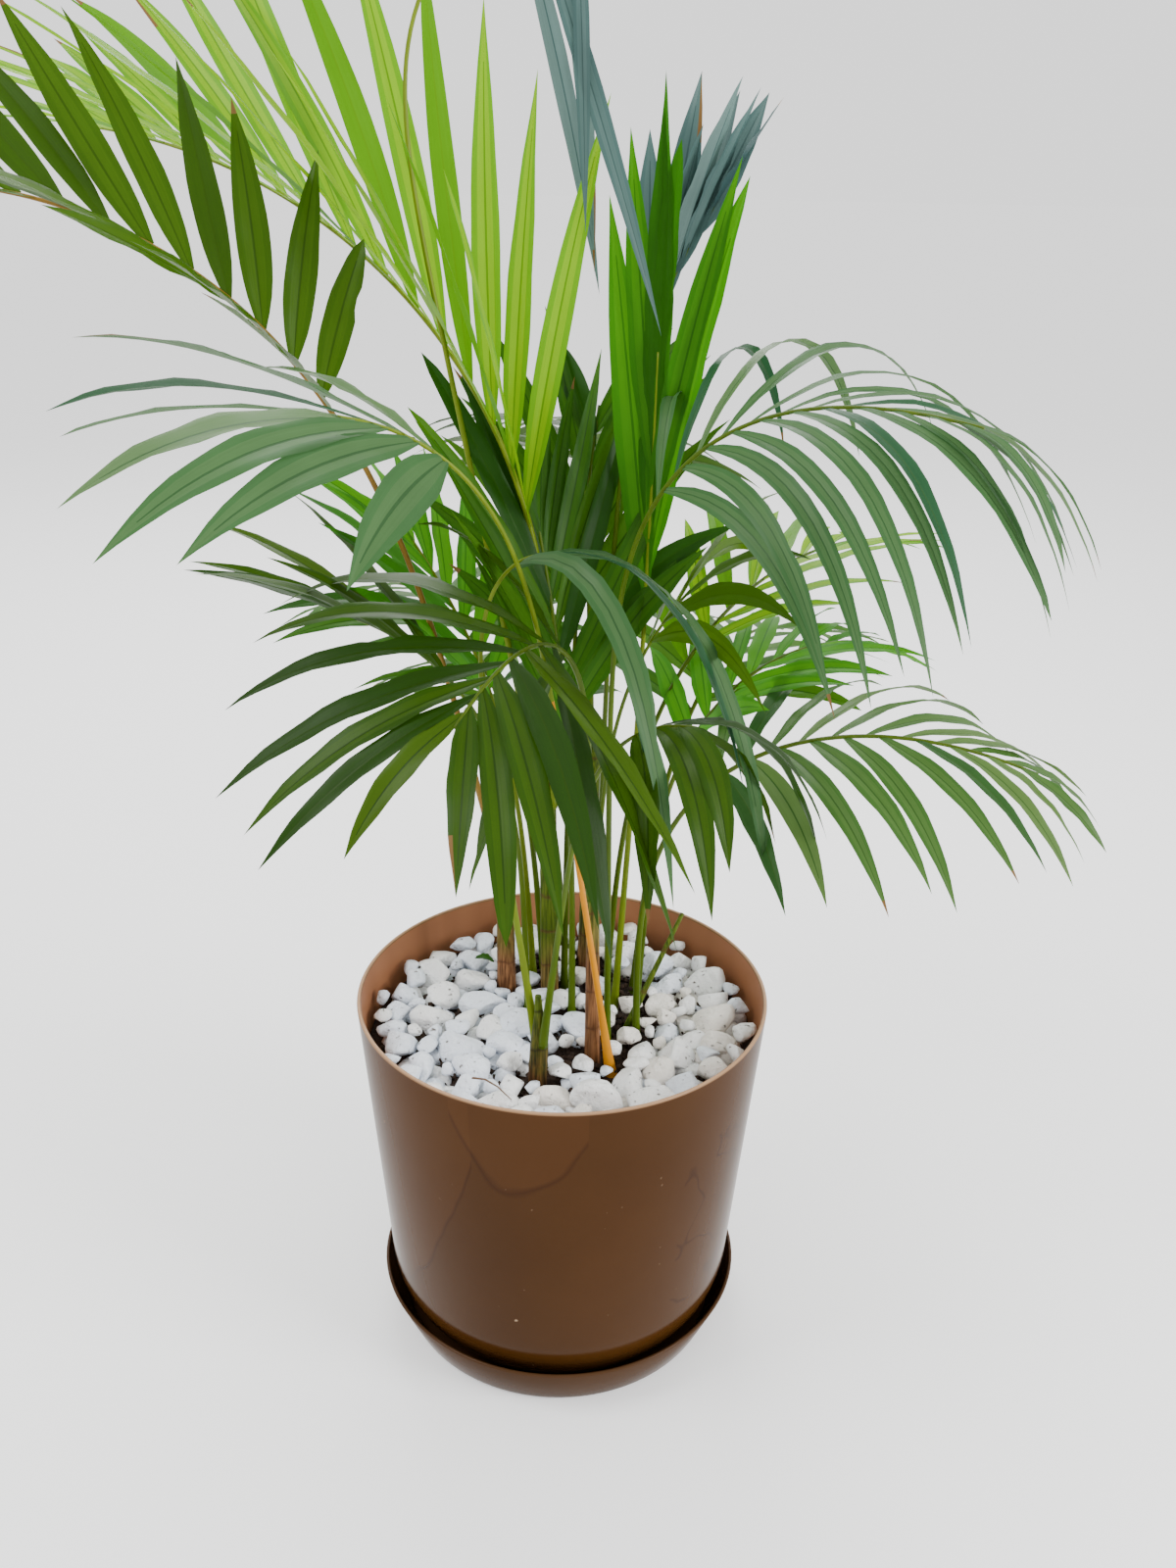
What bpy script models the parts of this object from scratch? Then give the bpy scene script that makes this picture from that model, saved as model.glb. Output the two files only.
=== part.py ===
"""A potted areca palm: a young clump of canes and arching fronds in a plastic pot on its saucer.

Metres, +Z up. The origin is the centre of the saucer's flat underside. +Y points to the back.
"""

import math
import random
from collections import namedtuple

import bmesh
import bpy
from mathutils import Matrix, Vector
from mathutils.bvhtree import BVHTree

GAP = 0.0003
ROUND = 48
SMOOTH_ANGLE = 40
MERGE = 0.00001

SAUCER_HEIGHT = 0.0335
SAUCER_RIM_RADIUS = 0.120
SAUCER_FOOT_RADIUS = 0.1076
SAUCER_WALL = 0.0024
SAUCER_FLOOR = 0.004
SAUCER_LIP = 0.001
FILLET_WIDTH = 0.004
FILLET_HEIGHT = 0.003

POT_HEIGHT = 0.240
POT_RIM_RADIUS = 0.130
POT_SHOULDER_RADIUS = 0.1152
POT_SHOULDER_HEIGHT = 0.058
POT_FOOT_RADIUS = 0.078
POT_WALL = 0.0026
POT_FLOOR = 0.003
POT_BOTTOM = SAUCER_FLOOR + GAP

SOIL_TOP = 0.196
SOIL_SPARE = 0.0005
BED_TOP = 0.212
BED_RADIUS = 0.1225
BED_DEPTH = 0.030
PEAT_PATCHES = ((-0.034, 0.056, 0.010), (0.006, -0.038, 0.012), (0.041, 0.042, 0.009), (0.064, 0.094, 0.010))
PEBBLE_SEED = 11
PEBBLE_SIZES = ((12, 0.0165, 0.0140), (26, 0.0140, 0.0110), (24, 0.0110, 0.0090))
PEBBLE_TRIES = 30
PEBBLE_ROOM = 0.80
PEBBLE_RISE = 0.25
STEM_ROOM = 0.0035
HOLE_DEPTH = 0.06
HOLE_SIDES = 8
STEM_SIDES = 8

PETIOLE_RADIUS = 0.0023
RIB_TIP_RADIUS = 0.0009
RIB_STATIONS = 12
RIB_STEPS = 8
RIB_SHOULDER = 0.6
RIB_KEEL = 1.2
SEAT_SPARE = 0.0002
CURL_POWER = 1.5
LEAFLET_THICKNESS = 0.012
LEAFLET_STEPS = 12
LEAFLET_WIDTHS = {4: 1.0, 8: 0.78}
LEAFLET_ROOT = 0.5
LEAFLET_PLACES = {1: 0.25, -1: 0.60}
LEAST_KEEL = 0.0011
BLADE_END = 0.985
FULL_TIP = 0.86
FULL_POWER = 0.8
DROOP_POWER = 1.4
TIP_WIDTH = 0.7
SWEEP_SPREAD = 4
RISE_SPREAD = 6
LENGTH_SPREAD = 0.08
WIDTH_SPREAD = 0.1
DROOP_SPREAD = 0.2
TURNS = (0, 7, -7, 14, -14, 21, -21)
SHRINKS = (1.0, 0.8, 0.6)
TEST_SPARE = 0.0005
FROND_SEED = 23

PLASTIC = ("brown_plastic", (0.20, 0.10, 0.055), 0.3)
PEAT = ("peat", (0.04, 0.025, 0.015), 0.95)
STONE = ("white_pebble", (0.75, 0.74, 0.72), 0.6)
SHEATH = ("cane_sheath", (0.22, 0.14, 0.05), 0.6)
LEAF_COLOURS = {
    "leaf_olive": (0.10, 0.16, 0.02),
    "leaf_bright": (0.22, 0.42, 0.02),
    "leaf_fresh": (0.10, 0.30, 0.02),
    "leaf_green": (0.06, 0.20, 0.02),
    "leaf_dark": (0.03, 0.11, 0.02),
    "leaf_grey": (0.12, 0.24, 0.13),
    "leaf_blue": (0.07, 0.15, 0.14),
}
LEAF_ROUGHNESS = 0.45

# A cane stands on the soil: its foot, the way and amount that it leans in degrees, its length and two radii.
Cane = namedtuple("Cane", "name foot heading lean length foot_radius top_radius")
CANES = (
    Cane("cane_left", (-0.038, 0.040), 110, 3, 0.105, 0.0066, 0.0052),
    Cane("cane_front", (-0.014, -0.060), 60, 4, 0.040, 0.0058, 0.0056),
    Cane("cane_middle", (0.020, -0.035), 120, 2, 0.125, 0.0050, 0.0038),
    Cane("cane_dark", (-0.009, 0.038), 120, 2, 0.150, 0.0060, 0.0056),
    Cane("cane_back", (0.014, 0.078), 60, 3, 0.160, 0.0060, 0.0056),
    Cane("petiole_stub", (0.036, 0.000), 30, 28, 0.098, 0.0024, 0.0014),
)

# A frond rises from its foot and arches over. Angles are in degrees: heading is the way it arches, with 0 to
# the right and 90 to the back, curl turns that along it, and lean is its tilt from upright. The lean grows
# with the power bend, mostly before the knee, a share of the length. The petiole is the bare share. The
# lengths of the leaflets follow a sine from full_foot to FULL_TIP. Sweep is the angle from rib to leaflet.
# Rise lifts the leaflets on the left and right of the heading, and settles by its power towards the tip.
Frond = namedtuple(
    "Frond",
    "name colour foot seat heading curl lean_foot lean_tip bend knee length "
    "petiole pairs leaflet full_foot width sweep_base sweep_tip rise_left rise_right settle droop",
)
FRONDS = (
    Frond("frond_left_high", "leaf_olive", "cane_left", 180, 185, -4, 13, 108, 3.5, 0.76, 0.66,
          0.455, 15, 0.145, 0.17, 0.021, 52, 5, 5, 75, 0.3, 0.2),
    Frond("frond_left_tall", "leaf_bright", "cane_dark", 0, 160, -12, 0, 86, 2.5, 0.60, 0.60,
          0.29, 16, 0.240, 0.30, 0.0165, 27, 18, 30, 80, 0.4, 0.2),
    Frond("frond_back_top", "leaf_blue", "cane_dark", 180, 0, 0, -11.3, 100, 12, 0.87, 0.570,
          0.91, 2, 0.210, 0.42, 0.0170, 84, 80, -80, -84, 0.1, 0.5),
    Frond("frond_right_top", "leaf_blue", (0.020, 0.062), 0, 20, 0, 1, 39, 7.0, 1.00, 0.52,
          0.82, 4, 0.120, 0.42, 0.021, 15, 5, 70, 60, 0.2, 0.1),
    Frond("frond_centre_bright", "leaf_fresh", (0.033, 0.024), 0, 58, 0, 6, 1, 2.0, 1.00, 0.43,
          0.66, 4, 0.215, 0.40, 0.0205, 8, 3, 0, 0, 1.0, 0.1),
    Frond("frond_right_arch", "leaf_grey", (0.029, -0.020), 0, -15, -15, -1, 99, 8.0, 0.745, 0.55,
          0.66, 11, 0.185, 0.34, 0.0150, 55, 14, 45, -50, 1.2, 2.0),
    Frond("frond_right_low", "leaf_green", (0.048, -0.008), 0, -32, 25, -2, 111, 2.8, 0.73, 0.40,
          0.52, 10, 0.125, 0.30, 0.017, 66, 18, 30, -30, 1.0, 1.2),
    Frond("frond_left_pale", "leaf_grey", (0.033, -0.044), 0, 195, 15, 9, 85, 9.0, 0.89, 0.48,
          0.845, 4, 0.178, 0.14, 0.024, 62, 6, -38, 16, 1.0, 0.6),
    Frond("frond_left_fan", "leaf_dark", "cane_middle", 200, 234, 8, 3, 120, 6.5, 0.66, 0.275,
          0.60, 8, 0.170, 0.28, 0.020, 88, 24, -105, 50, 3.5, 0.9),
    Frond("frond_front_arch", "leaf_grey", "cane_front", 128, 325, 0, -11, 95, 8.0, 1.00, 0.335,
          0.87, 2, 0.240, 0.50, 0.014, 24, 8, -45, -45, 1.0, 4.5),
    Frond("frond_front_right", "leaf_dark", "cane_front", -52, -38, 0, 8, 85, 6.0, 0.95, 0.27,
          0.82, 3, 0.130, 0.30, 0.018, 55, 20, -10, -30, 1.0, 3.0),
    Frond("frond_mid_left", "leaf_fresh", (-0.020, 0.056), 0, 150, 0, 4, 45, 3.0, 0.95, 0.34,
          0.62, 6, 0.130, 0.30, 0.018, 45, 20, 10, 20, 1.0, 0.4),
    Frond("frond_mid_right", "leaf_fresh", (0.048, 0.030), 0, 20, 0, 3, 95, 4.0, 0.90, 0.33,
          0.60, 7, 0.110, 0.30, 0.016, 60, 25, 10, 20, 1.0, 0.6),
    Frond("frond_right_back", "leaf_bright", (0.028, 0.056), 0, 35, 0, 4, 90, 3.0, 0.90, 0.40,
          0.60, 7, 0.125, 0.30, 0.014, 55, 20, 20, 20, 1.0, 0.5),
    Frond("frond_centre_dark", "leaf_green", (0.006, 0.012), 0, 120, 0, 1, 25, 3.0, 1.00, 0.34,
          0.60, 7, 0.170, 0.30, 0.016, 35, 12, 30, 30, 1.0, 0.3),
    Frond("frond_inner_right", "leaf_olive", (0.016, 0.030), 0, -5, 0, 2, 40, 5.0, 1.00, 0.31,
          0.85, 3, 0.165, 0.30, 0.016, 62, 30, 0, -10, 1.0, 0.9),
    Frond("frond_inner_left", "leaf_dark", (-0.022, 0.014), 0, 185, 0, 2, 68, 4.0, 1.00, 0.32,
          0.76, 3, 0.160, 0.30, 0.017, 25, 10, 10, 10, 1.0, 0.5),
    Frond("frond_inner_back", "leaf_green", (0.000, 0.046), 0, 75, 0, 1, 28, 3.5, 1.00, 0.40,
          0.52, 7, 0.145, 0.30, 0.019, 36, 18, 10, 10, 1.0, 0.5),
    Frond("frond_back_left", "leaf_green", (-0.014, 0.074), 0, 125, 0, 8, 112, 3.0, 0.80, 0.40,
          0.55, 8, 0.125, 0.30, 0.016, 75, 25, 0, 10, 1.0, 0.7),
    Frond("frond_back_right", "leaf_green", (0.046, 0.048), 0, 60, 0, 9, 112, 3.0, 0.80, 0.37,
          0.55, 7, 0.120, 0.30, 0.015, 70, 25, 10, 20, 1.0, 0.6),
    Frond("frond_back_arch", "leaf_dark", "cane_back", 180, 95, 0, 14, 118, 2.5, 0.80, 0.38,
          0.50, 8, 0.140, 0.30, 0.016, 70, 25, 5, 5, 1.0, 0.8),
    Frond("frond_back_low", "leaf_green", (0.000, 0.090), 0, 115, 0, 8, 120, 2.5, 0.80, 0.34,
          0.50, 7, 0.120, 0.30, 0.015, 70, 25, 5, 5, 1.0, 0.8),
)


def clear_scene():
    for thing in list(bpy.data.objects):
        bpy.data.objects.remove(thing)


def material(name, colour, roughness):
    paint = bpy.data.materials.new(name)
    paint.use_nodes = True
    shader = paint.node_tree.nodes["Principled BSDF"]
    shader.inputs["Base Color"].default_value = (*colour, 1)
    shader.inputs["Roughness"].default_value = roughness
    return paint


def to_object(name, bm, paint):
    """Closes a bmesh into a named object of the scene, with its faces outwards."""
    bmesh.ops.recalc_face_normals(bm, faces=bm.faces)
    mesh = bpy.data.meshes.new(name)
    bm.to_mesh(mesh)
    bm.free()
    mesh.materials.append(paint)
    thing = bpy.data.objects.new(name, mesh)
    bpy.context.scene.collection.objects.link(thing)
    return thing


def turned(name, profile, paint):
    """Turns a profile of (radius, height) pairs, which starts and ends on the axis, about the Z axis."""
    bm = bmesh.new()
    points = [bm.verts.new((radius, 0, height)) for radius, height in profile]
    edges = [bm.edges.new(pair) for pair in zip(points, points[1:])]
    bmesh.ops.spin(bm, geom=points + edges, axis=(0, 0, 1), cent=(0, 0, 0), angle=math.tau,
                   steps=ROUND, use_merge=True)
    bmesh.ops.remove_doubles(bm, verts=bm.verts, dist=MERGE)
    thing = to_object(name, bm, paint)
    thing.data.shade_smooth()
    thing.data.set_sharp_from_angle(angle=math.radians(SMOOTH_ANGLE))
    return thing


def lerp(low, high, share):
    return low + (high - low) * share


def pot_radius(height):
    """The pot's outer radius: a straight tapered wall over a rounded bottom."""
    if height >= POT_SHOULDER_HEIGHT:
        share = (height - POT_SHOULDER_HEIGHT) / (POT_HEIGHT - POT_SHOULDER_HEIGHT)
        return lerp(POT_SHOULDER_RADIUS, POT_RIM_RADIUS, share)
    share = (POT_SHOULDER_HEIGHT - height) / (POT_SHOULDER_HEIGHT - POT_BOTTOM)
    return lerp(POT_FOOT_RADIUS, POT_SHOULDER_RADIUS, math.sqrt(max(0.0, 1 - share * share)))


def bottom_heights(low, steps):
    """Heights from low up to the pot's shoulder, closer together where the bottom turns in most."""
    return [low + (POT_SHOULDER_HEIGHT - low) * (1 - math.cos(math.radians(90 * i / steps)))
            for i in range(steps + 1)]


def make_saucer(paint):
    foot, rim = SAUCER_FOOT_RADIUS, SAUCER_RIM_RADIUS
    inner_foot = foot - SAUCER_WALL
    return turned("saucer", [
        (0, 0), (foot - FILLET_WIDTH, 0), (foot, FILLET_HEIGHT),
        (rim, SAUCER_HEIGHT - SAUCER_LIP), (rim - SAUCER_LIP, SAUCER_HEIGHT),
        (rim - SAUCER_WALL, SAUCER_HEIGHT), (inner_foot, SAUCER_FLOOR + FILLET_HEIGHT),
        (inner_foot - FILLET_WIDTH, SAUCER_FLOOR), (0, SAUCER_FLOOR),
    ], paint)


def make_pot(paint):
    outer = [(pot_radius(height), height) for height in bottom_heights(POT_BOTTOM, 4)]
    floor = POT_BOTTOM + POT_FLOOR
    inner = [(pot_radius(height) - POT_WALL, height) for height in bottom_heights(floor, 3)]
    rim = [(POT_RIM_RADIUS, POT_HEIGHT), (POT_RIM_RADIUS - POT_WALL, POT_HEIGHT)]
    return turned("pot", [(0, POT_BOTTOM)] + outer + rim + inner[::-1] + [(0, floor)], paint)


def make_soil(paint):
    floor = POT_BOTTOM + POT_FLOOR + GAP
    heights = bottom_heights(floor, 3) + [SOIL_TOP]
    side = [(pot_radius(height) - POT_WALL - SOIL_SPARE, height) for height in heights]
    return turned("soil", [(0, floor)] + side + [(0, SOIL_TOP)], paint)


def heading_vector(degrees):
    return Vector((math.cos(math.radians(degrees)), math.sin(math.radians(degrees)), 0))


def cane_axis(cane):
    """The foot, the top and the unit direction of a cane."""
    lean = math.radians(cane.lean)
    way = heading_vector(cane.heading) * math.sin(lean) + Vector((0, 0, math.cos(lean)))
    foot = Vector((*cane.foot, SOIL_TOP + GAP))
    return foot, foot + way * cane.length, way


def bare_spots():
    """Where no pebble lies: the place and radius that each stem takes in the bed, and patches of peat."""
    stems = [(cane.foot, cane.heading, cane.lean, cane.foot_radius) for cane in CANES]
    stems += [(frond.foot, frond.heading, frond.lean_foot, PETIOLE_RADIUS)
              for frond in FRONDS if not isinstance(frond.foot, str)]
    spots = [(Vector((x, y)), radius) for x, y, radius in PEAT_PATCHES]
    for foot, heading, lean, radius in stems:
        aside = math.tan(math.radians(lean)) * BED_DEPTH / 2
        spots.append((Vector(foot) + heading_vector(heading).xy * aside, radius + abs(aside) + STEM_ROOM))
    return spots


def pebble_places():
    """Thrown down by a seeded rule, large ones first: (x, y, half length, half width, half height, turn)."""
    dice = random.Random(PEBBLE_SEED)
    spots = bare_spots()
    placed = []
    for count, largest, smallest in PEBBLE_SIZES:
        for _ in range(count * PEBBLE_TRIES):
            half = dice.uniform(smallest, largest)
            reach = (BED_RADIUS - half - 0.001) * math.sqrt(dice.random())
            angle = dice.uniform(0, math.tau)
            place = Vector((reach * math.cos(angle), reach * math.sin(angle)))
            turn, slim, flat = dice.uniform(0, math.pi), dice.uniform(0.7, 0.95), dice.uniform(0.55, 0.75)
            if any((place - spot).length < half + radius for spot, radius in spots):
                continue
            if any((place - Vector(other[:2])).length < (half + other[2]) * PEBBLE_ROOM
                   for other in placed):
                continue
            placed.append((place.x, place.y, half, half * slim, half * flat, turn))
            if sum(1 for other in placed if smallest <= other[2] <= largest) >= count:
                break
    return placed


def make_pebbles(paint):
    """A bed disc with a crown of pebbles fused on, open round the stems and where the peat shows."""
    bm = bmesh.new()
    low = SOIL_TOP + GAP
    bmesh.ops.create_cone(bm, segments=ROUND, radius1=BED_RADIUS, radius2=BED_RADIUS, depth=BED_TOP - low,
                          cap_ends=True, matrix=Matrix.Translation((0, 0, (BED_TOP + low) / 2)))
    bed = to_object("pebbles", bm, paint)
    pieces = []
    for x, y, half, width, height, turn in pebble_places():
        bm = bmesh.new()
        shape = (Matrix.Translation((x, y, BED_TOP + height * PEBBLE_RISE))
                 @ Matrix.Rotation(turn, 4, "Z") @ Matrix.Diagonal((half, width, height, 1)))
        bmesh.ops.create_icosphere(bm, subdivisions=1, radius=1, matrix=shape)
        pieces.append(to_object("pebble", bm, paint))
    fuse(bed, pieces)
    holes = []
    for spot, radius in bare_spots():
        bm = bmesh.new()
        bmesh.ops.create_cone(bm, segments=HOLE_SIDES, radius1=radius, radius2=radius, depth=HOLE_DEPTH,
                              cap_ends=True, matrix=Matrix.Translation((*spot, BED_TOP)))
        holes.append(to_object("hole", bm, paint))
    fuse(bed, holes, "DIFFERENCE")
    return bed


def fuse(body, pieces, operation="UNION", solver="EXACT"):
    """Joins pieces to a body, or cuts them from it, in one Boolean, and removes them."""
    crowd = bpy.data.collections.new("crowd")
    bpy.context.scene.collection.children.link(crowd)
    for piece in pieces:
        bpy.context.scene.collection.objects.unlink(piece)
        crowd.objects.link(piece)
    join = body.modifiers.new("join", "BOOLEAN")
    join.operation = operation
    join.operand_type = "COLLECTION"
    join.collection = crowd
    join.solver = solver
    bpy.context.view_layer.update()
    graph = bpy.context.evaluated_depsgraph_get()
    fused = bpy.data.meshes.new_from_object(body.evaluated_get(graph))
    body.modifiers.remove(join)
    keep_outside(fused)
    body.data = fused
    for piece in pieces:
        bpy.data.objects.remove(piece)
    bpy.data.collections.remove(crowd)


def loft(bm, rings):
    """Skins rings of points into one closed body. The last ring may be a single point."""
    rows = [[bm.verts.new(point) for point in ring] for ring in rings]
    bm.faces.new(rows[0][::-1])
    for low, high in zip(rows, rows[1:]):
        for i in range(len(low)):
            j = (i + 1) % len(low)
            if len(high) == 1:
                bm.faces.new((low[i], low[j], high[0]))
            else:
                bm.faces.new((low[i], low[j], high[j], high[i]))
    if len(rows[-1]) > 1:
        bm.faces.new(rows[-1])


def make_cane(cane, paint):
    foot, top, way = cane_axis(cane)
    across = way.cross(Vector((1, 0, 0))).normalized()
    other = way.cross(across)
    bm = bmesh.new()
    rings = []
    for share in (0, 0.5, 1):
        radius = lerp(cane.foot_radius, cane.top_radius, share)
        middle = foot.lerp(top, share)
        ring = []
        for i in range(STEM_SIDES):
            angle = math.tau * i / STEM_SIDES
            point = middle + (across * math.cos(angle) + other * math.sin(angle)) * radius
            if share == 0:
                point.z = foot.z
            if share == 1:
                point.z = top.z
            ring.append(point)
        rings.append(ring)
    loft(bm, rings)
    return to_object(cane.name, bm, paint)


def frond_foot(frond):
    """A frond stands on the soil, or on the flat top of its cane, off the middle towards its seat angle."""
    if not isinstance(frond.foot, str):
        return Vector((*frond.foot, SOIL_TOP + GAP))
    cane = next(cane for cane in CANES if cane.name == frond.foot)
    top = cane_axis(cane)[1]
    off = cane.top_radius - PETIOLE_RADIUS - SEAT_SPARE
    return top + heading_vector(frond.seat) * off + Vector((0, 0, GAP))


def frond_way(frond, share):
    """The direction of the rib at a share of its length."""
    bent = share ** frond.bend
    knee = frond.knee ** frond.bend
    lean = math.radians(lerp(frond.lean_foot, frond.lean_tip, bent * (1 + knee) / (bent + knee)))
    level = heading_vector(frond.heading + frond.curl * share ** CURL_POWER)
    return level * math.sin(lean) + Vector((0, 0, math.cos(lean)))


def frond_rib(frond):
    """The points of the rib, from foot to tip."""
    steps = RIB_STEPS * RIB_STATIONS
    points = [frond_foot(frond)]
    for i in range(steps):
        points.append(points[-1] + frond_way(frond, (i + 0.5) / steps) * (frond.length / steps))
    return points[::RIB_STEPS]


def rib_point(points, share):
    place = share * (len(points) - 1)
    low = min(int(place), len(points) - 2)
    return points[low].lerp(points[low + 1], place - low)


def rib_frame(frond, share):
    """The rib's direction, its level left-hand side and its upper side."""
    way = frond_way(frond, share)
    level = heading_vector(frond.heading + frond.curl * share ** CURL_POWER)
    left = Vector((-level.y, level.x, 0))
    return way, left, way.cross(left)


def rib_radius(share):
    return lerp(PETIOLE_RADIUS, RIB_TIP_RADIUS, share)


def rib_rings(frond, points, spare=0.0):
    rings = []
    for i, point in enumerate(points):
        share = i / (len(points) - 1)
        way, left, up = rib_frame(frond, share)
        radius = rib_radius(share) + spare
        shoulder = up * radius * RIB_SHOULDER
        keel = up * radius * RIB_KEEL
        ring = [point + left * radius + shoulder, point - left * radius + shoulder, point - keel]
        if i == 0:
            for corner in ring:
                corner.z = point.z
        rings.append(ring)
    return rings


Leaflet = namedtuple("Leaflet", "base way across length width droop root")


def leaflet_rings(leaflet, spare=0.0):
    """Three-sided rings of a leaflet that bends down along its length, from its narrow root to its tip."""
    rings = []
    point = leaflet.base.copy()
    for i in range(LEAFLET_STEPS):
        share = (i + 0.5) / LEAFLET_STEPS
        way = (leaflet.way + Vector((0, 0, -leaflet.droop * share ** DROOP_POWER))).normalized()
        across = (leaflet.across - way * leaflet.across.dot(way)).normalized()
        under = across.cross(way)
        if i == 0:
            downward = math.copysign(1, -under.z)
            half = keel = leaflet.root + spare
        elif i in LEAFLET_WIDTHS:
            half = leaflet.width * LEAFLET_WIDTHS[i] / 2 + spare
            keel = max(LEAST_KEEL, leaflet.length * LEAFLET_THICKNESS * LEAFLET_WIDTHS[i]) + spare
        if i == 0 or i in LEAFLET_WIDTHS:
            upper = point - under * downward * spare
            rings.append([upper + across * half, upper - across * half, point + under * downward * keel])
        point = point + way * (leaflet.length / LEAFLET_STEPS)
    rings.append([point])
    return rings


def frond_leaflets(frond, points, dice):
    """Both rows of leaflets from the foot of the blade to its tip, with a seeded unevenness."""
    leaflets = []
    for i in range(frond.pairs):
        for side in (1, -1):
            along = (i + LEAFLET_PLACES[side]) / frond.pairs
            share = lerp(frond.petiole, BLADE_END, along)
            way, left, up = rib_frame(frond, share)
            spread = dice.uniform(-SWEEP_SPREAD, SWEEP_SPREAD)
            sweep = math.radians(lerp(frond.sweep_base, frond.sweep_tip, along) + spread)
            lift = (frond.rise_left if side > 0 else frond.rise_right) * (1 - along) ** frond.settle
            rise = math.radians(lift + dice.uniform(-RISE_SPREAD, RISE_SPREAD))
            out = left * (side * math.cos(rise)) + up * math.sin(rise)
            full = math.sin(math.pi * lerp(frond.full_foot, FULL_TIP, along)) ** FULL_POWER
            length = frond.leaflet * full * dice.uniform(1 - LENGTH_SPREAD, 1 + LENGTH_SPREAD)
            width = frond.width * lerp(1, TIP_WIDTH, along)
            width *= dice.uniform(1 - WIDTH_SPREAD, 1 + WIDTH_SPREAD)
            droop = frond.droop * dice.uniform(1 - DROOP_SPREAD, 1 + DROOP_SPREAD)
            direction = way * math.cos(sweep) + out * math.sin(sweep)
            across = way - direction * way.dot(direction)
            leaflets.append(Leaflet(rib_point(points, share), direction, across, length, width, droop,
                                    rib_radius(share) * LEAFLET_ROOT))
    return leaflets


Obstacle = namedtuple("Obstacle", "owner low high tree")


def obstacle(owner, bm):
    """A body that others keep clear of: whose it is, its box and its tree of faces."""
    low = Vector(min(vert.co[axis] for vert in bm.verts) for axis in range(3))
    high = Vector(max(vert.co[axis] for vert in bm.verts) for axis in range(3))
    return Obstacle(owner, low, high, BVHTree.FromBMesh(bm))


def touches(owner, body, obstacles):
    for other in obstacles:
        if other.owner == owner:
            continue
        if any(body.low[axis] > other.high[axis] or other.low[axis] > body.high[axis] for axis in range(3)):
            continue
        if body.tree.overlap(other.tree):
            return True
    return False


def tries(leaflet):
    """The leaflet as it is, then turned a little one way and the other, then shortened."""
    for shrink in SHRINKS:
        for turn in TURNS:
            spin = Matrix.Rotation(math.radians(turn), 3, leaflet.across)
            yield leaflet._replace(way=spin @ leaflet.way, length=leaflet.length * shrink)


def keep_outside(mesh):
    """Fills the hollows that fusing sealed and drops loose scraps: only the largest shell stays."""
    bm = bmesh.new()
    bm.from_mesh(mesh)
    bmesh.ops.triangulate(bm, faces=bm.faces)
    shells = []
    left = set(bm.faces)
    while left:
        shell, edge_of_shell = set(), [left.pop()]
        while edge_of_shell:
            face = edge_of_shell.pop()
            shell.add(face)
            beside = {other for edge in face.edges for other in edge.link_faces} & left
            left -= beside
            edge_of_shell += beside
        volume = sum(face.verts[0].co.dot(face.verts[1].co.cross(face.verts[2].co)) for face in shell)
        shells.append((volume, shell))
    largest = max(shells, key=lambda shell: shell[0])[1]
    bmesh.ops.delete(bm, geom=[face for face in bm.faces if face not in largest], context="FACES")
    bm.to_mesh(mesh)
    bm.free()


def solid_of(rings):
    bm = bmesh.new()
    loft(bm, rings)
    bmesh.ops.triangulate(bm, faces=bm.faces)
    return bm


def make_fronds(obstacles, paints):
    """Every rib first, then the leaflets that keep clear of everything else."""
    dice = random.Random(FROND_SEED)
    ribs = {frond.name: frond_rib(frond) for frond in FRONDS}
    for frond in FRONDS:
        bm = solid_of(rib_rings(frond, ribs[frond.name], TEST_SPARE))
        obstacles.append(obstacle(frond.name, bm))
        bm.free()
    for frond in FRONDS:
        paint = paints[frond.colour]
        body = to_object(frond.name, solid_of(rib_rings(frond, ribs[frond.name])), paint)
        pieces = []
        for leaflet in frond_leaflets(frond, ribs[frond.name], dice):
            for trial in tries(leaflet):
                bm = solid_of(leaflet_rings(trial, TEST_SPARE))
                tested = obstacle(frond.name, bm)
                bm.free()
                if not touches(frond.name, tested, obstacles):
                    obstacles.append(tested)
                    pieces.append(to_object("leaflet", solid_of(leaflet_rings(trial)), paint))
                    break
        fuse(body, pieces, solver="MANIFOLD")


def main():
    clear_scene()
    plastic = material(*PLASTIC)
    sheath = material(*SHEATH)
    solids = [make_saucer(plastic), make_pot(plastic), make_soil(material(*PEAT))]
    solids.append(make_pebbles(material(*STONE)))
    solids += [make_cane(cane, sheath) for cane in CANES]
    obstacles = []
    for solid in solids:
        bm = bmesh.new()
        bm.from_mesh(solid.data)
        obstacles.append(obstacle(solid.name, bm))
        bm.free()
    paints = {name: material(name, colour, LEAF_ROUGHNESS) for name, colour in LEAF_COLOURS.items()}
    make_fronds(obstacles, paints)


main()
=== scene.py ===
"""Dresses the potted areca palm: a clump of canes and arching fronds in a glossy brown pot on its saucer."""

import math
import random
from collections import namedtuple

import bmesh
import bpy
from mathutils import Matrix, Vector, noise


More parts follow.
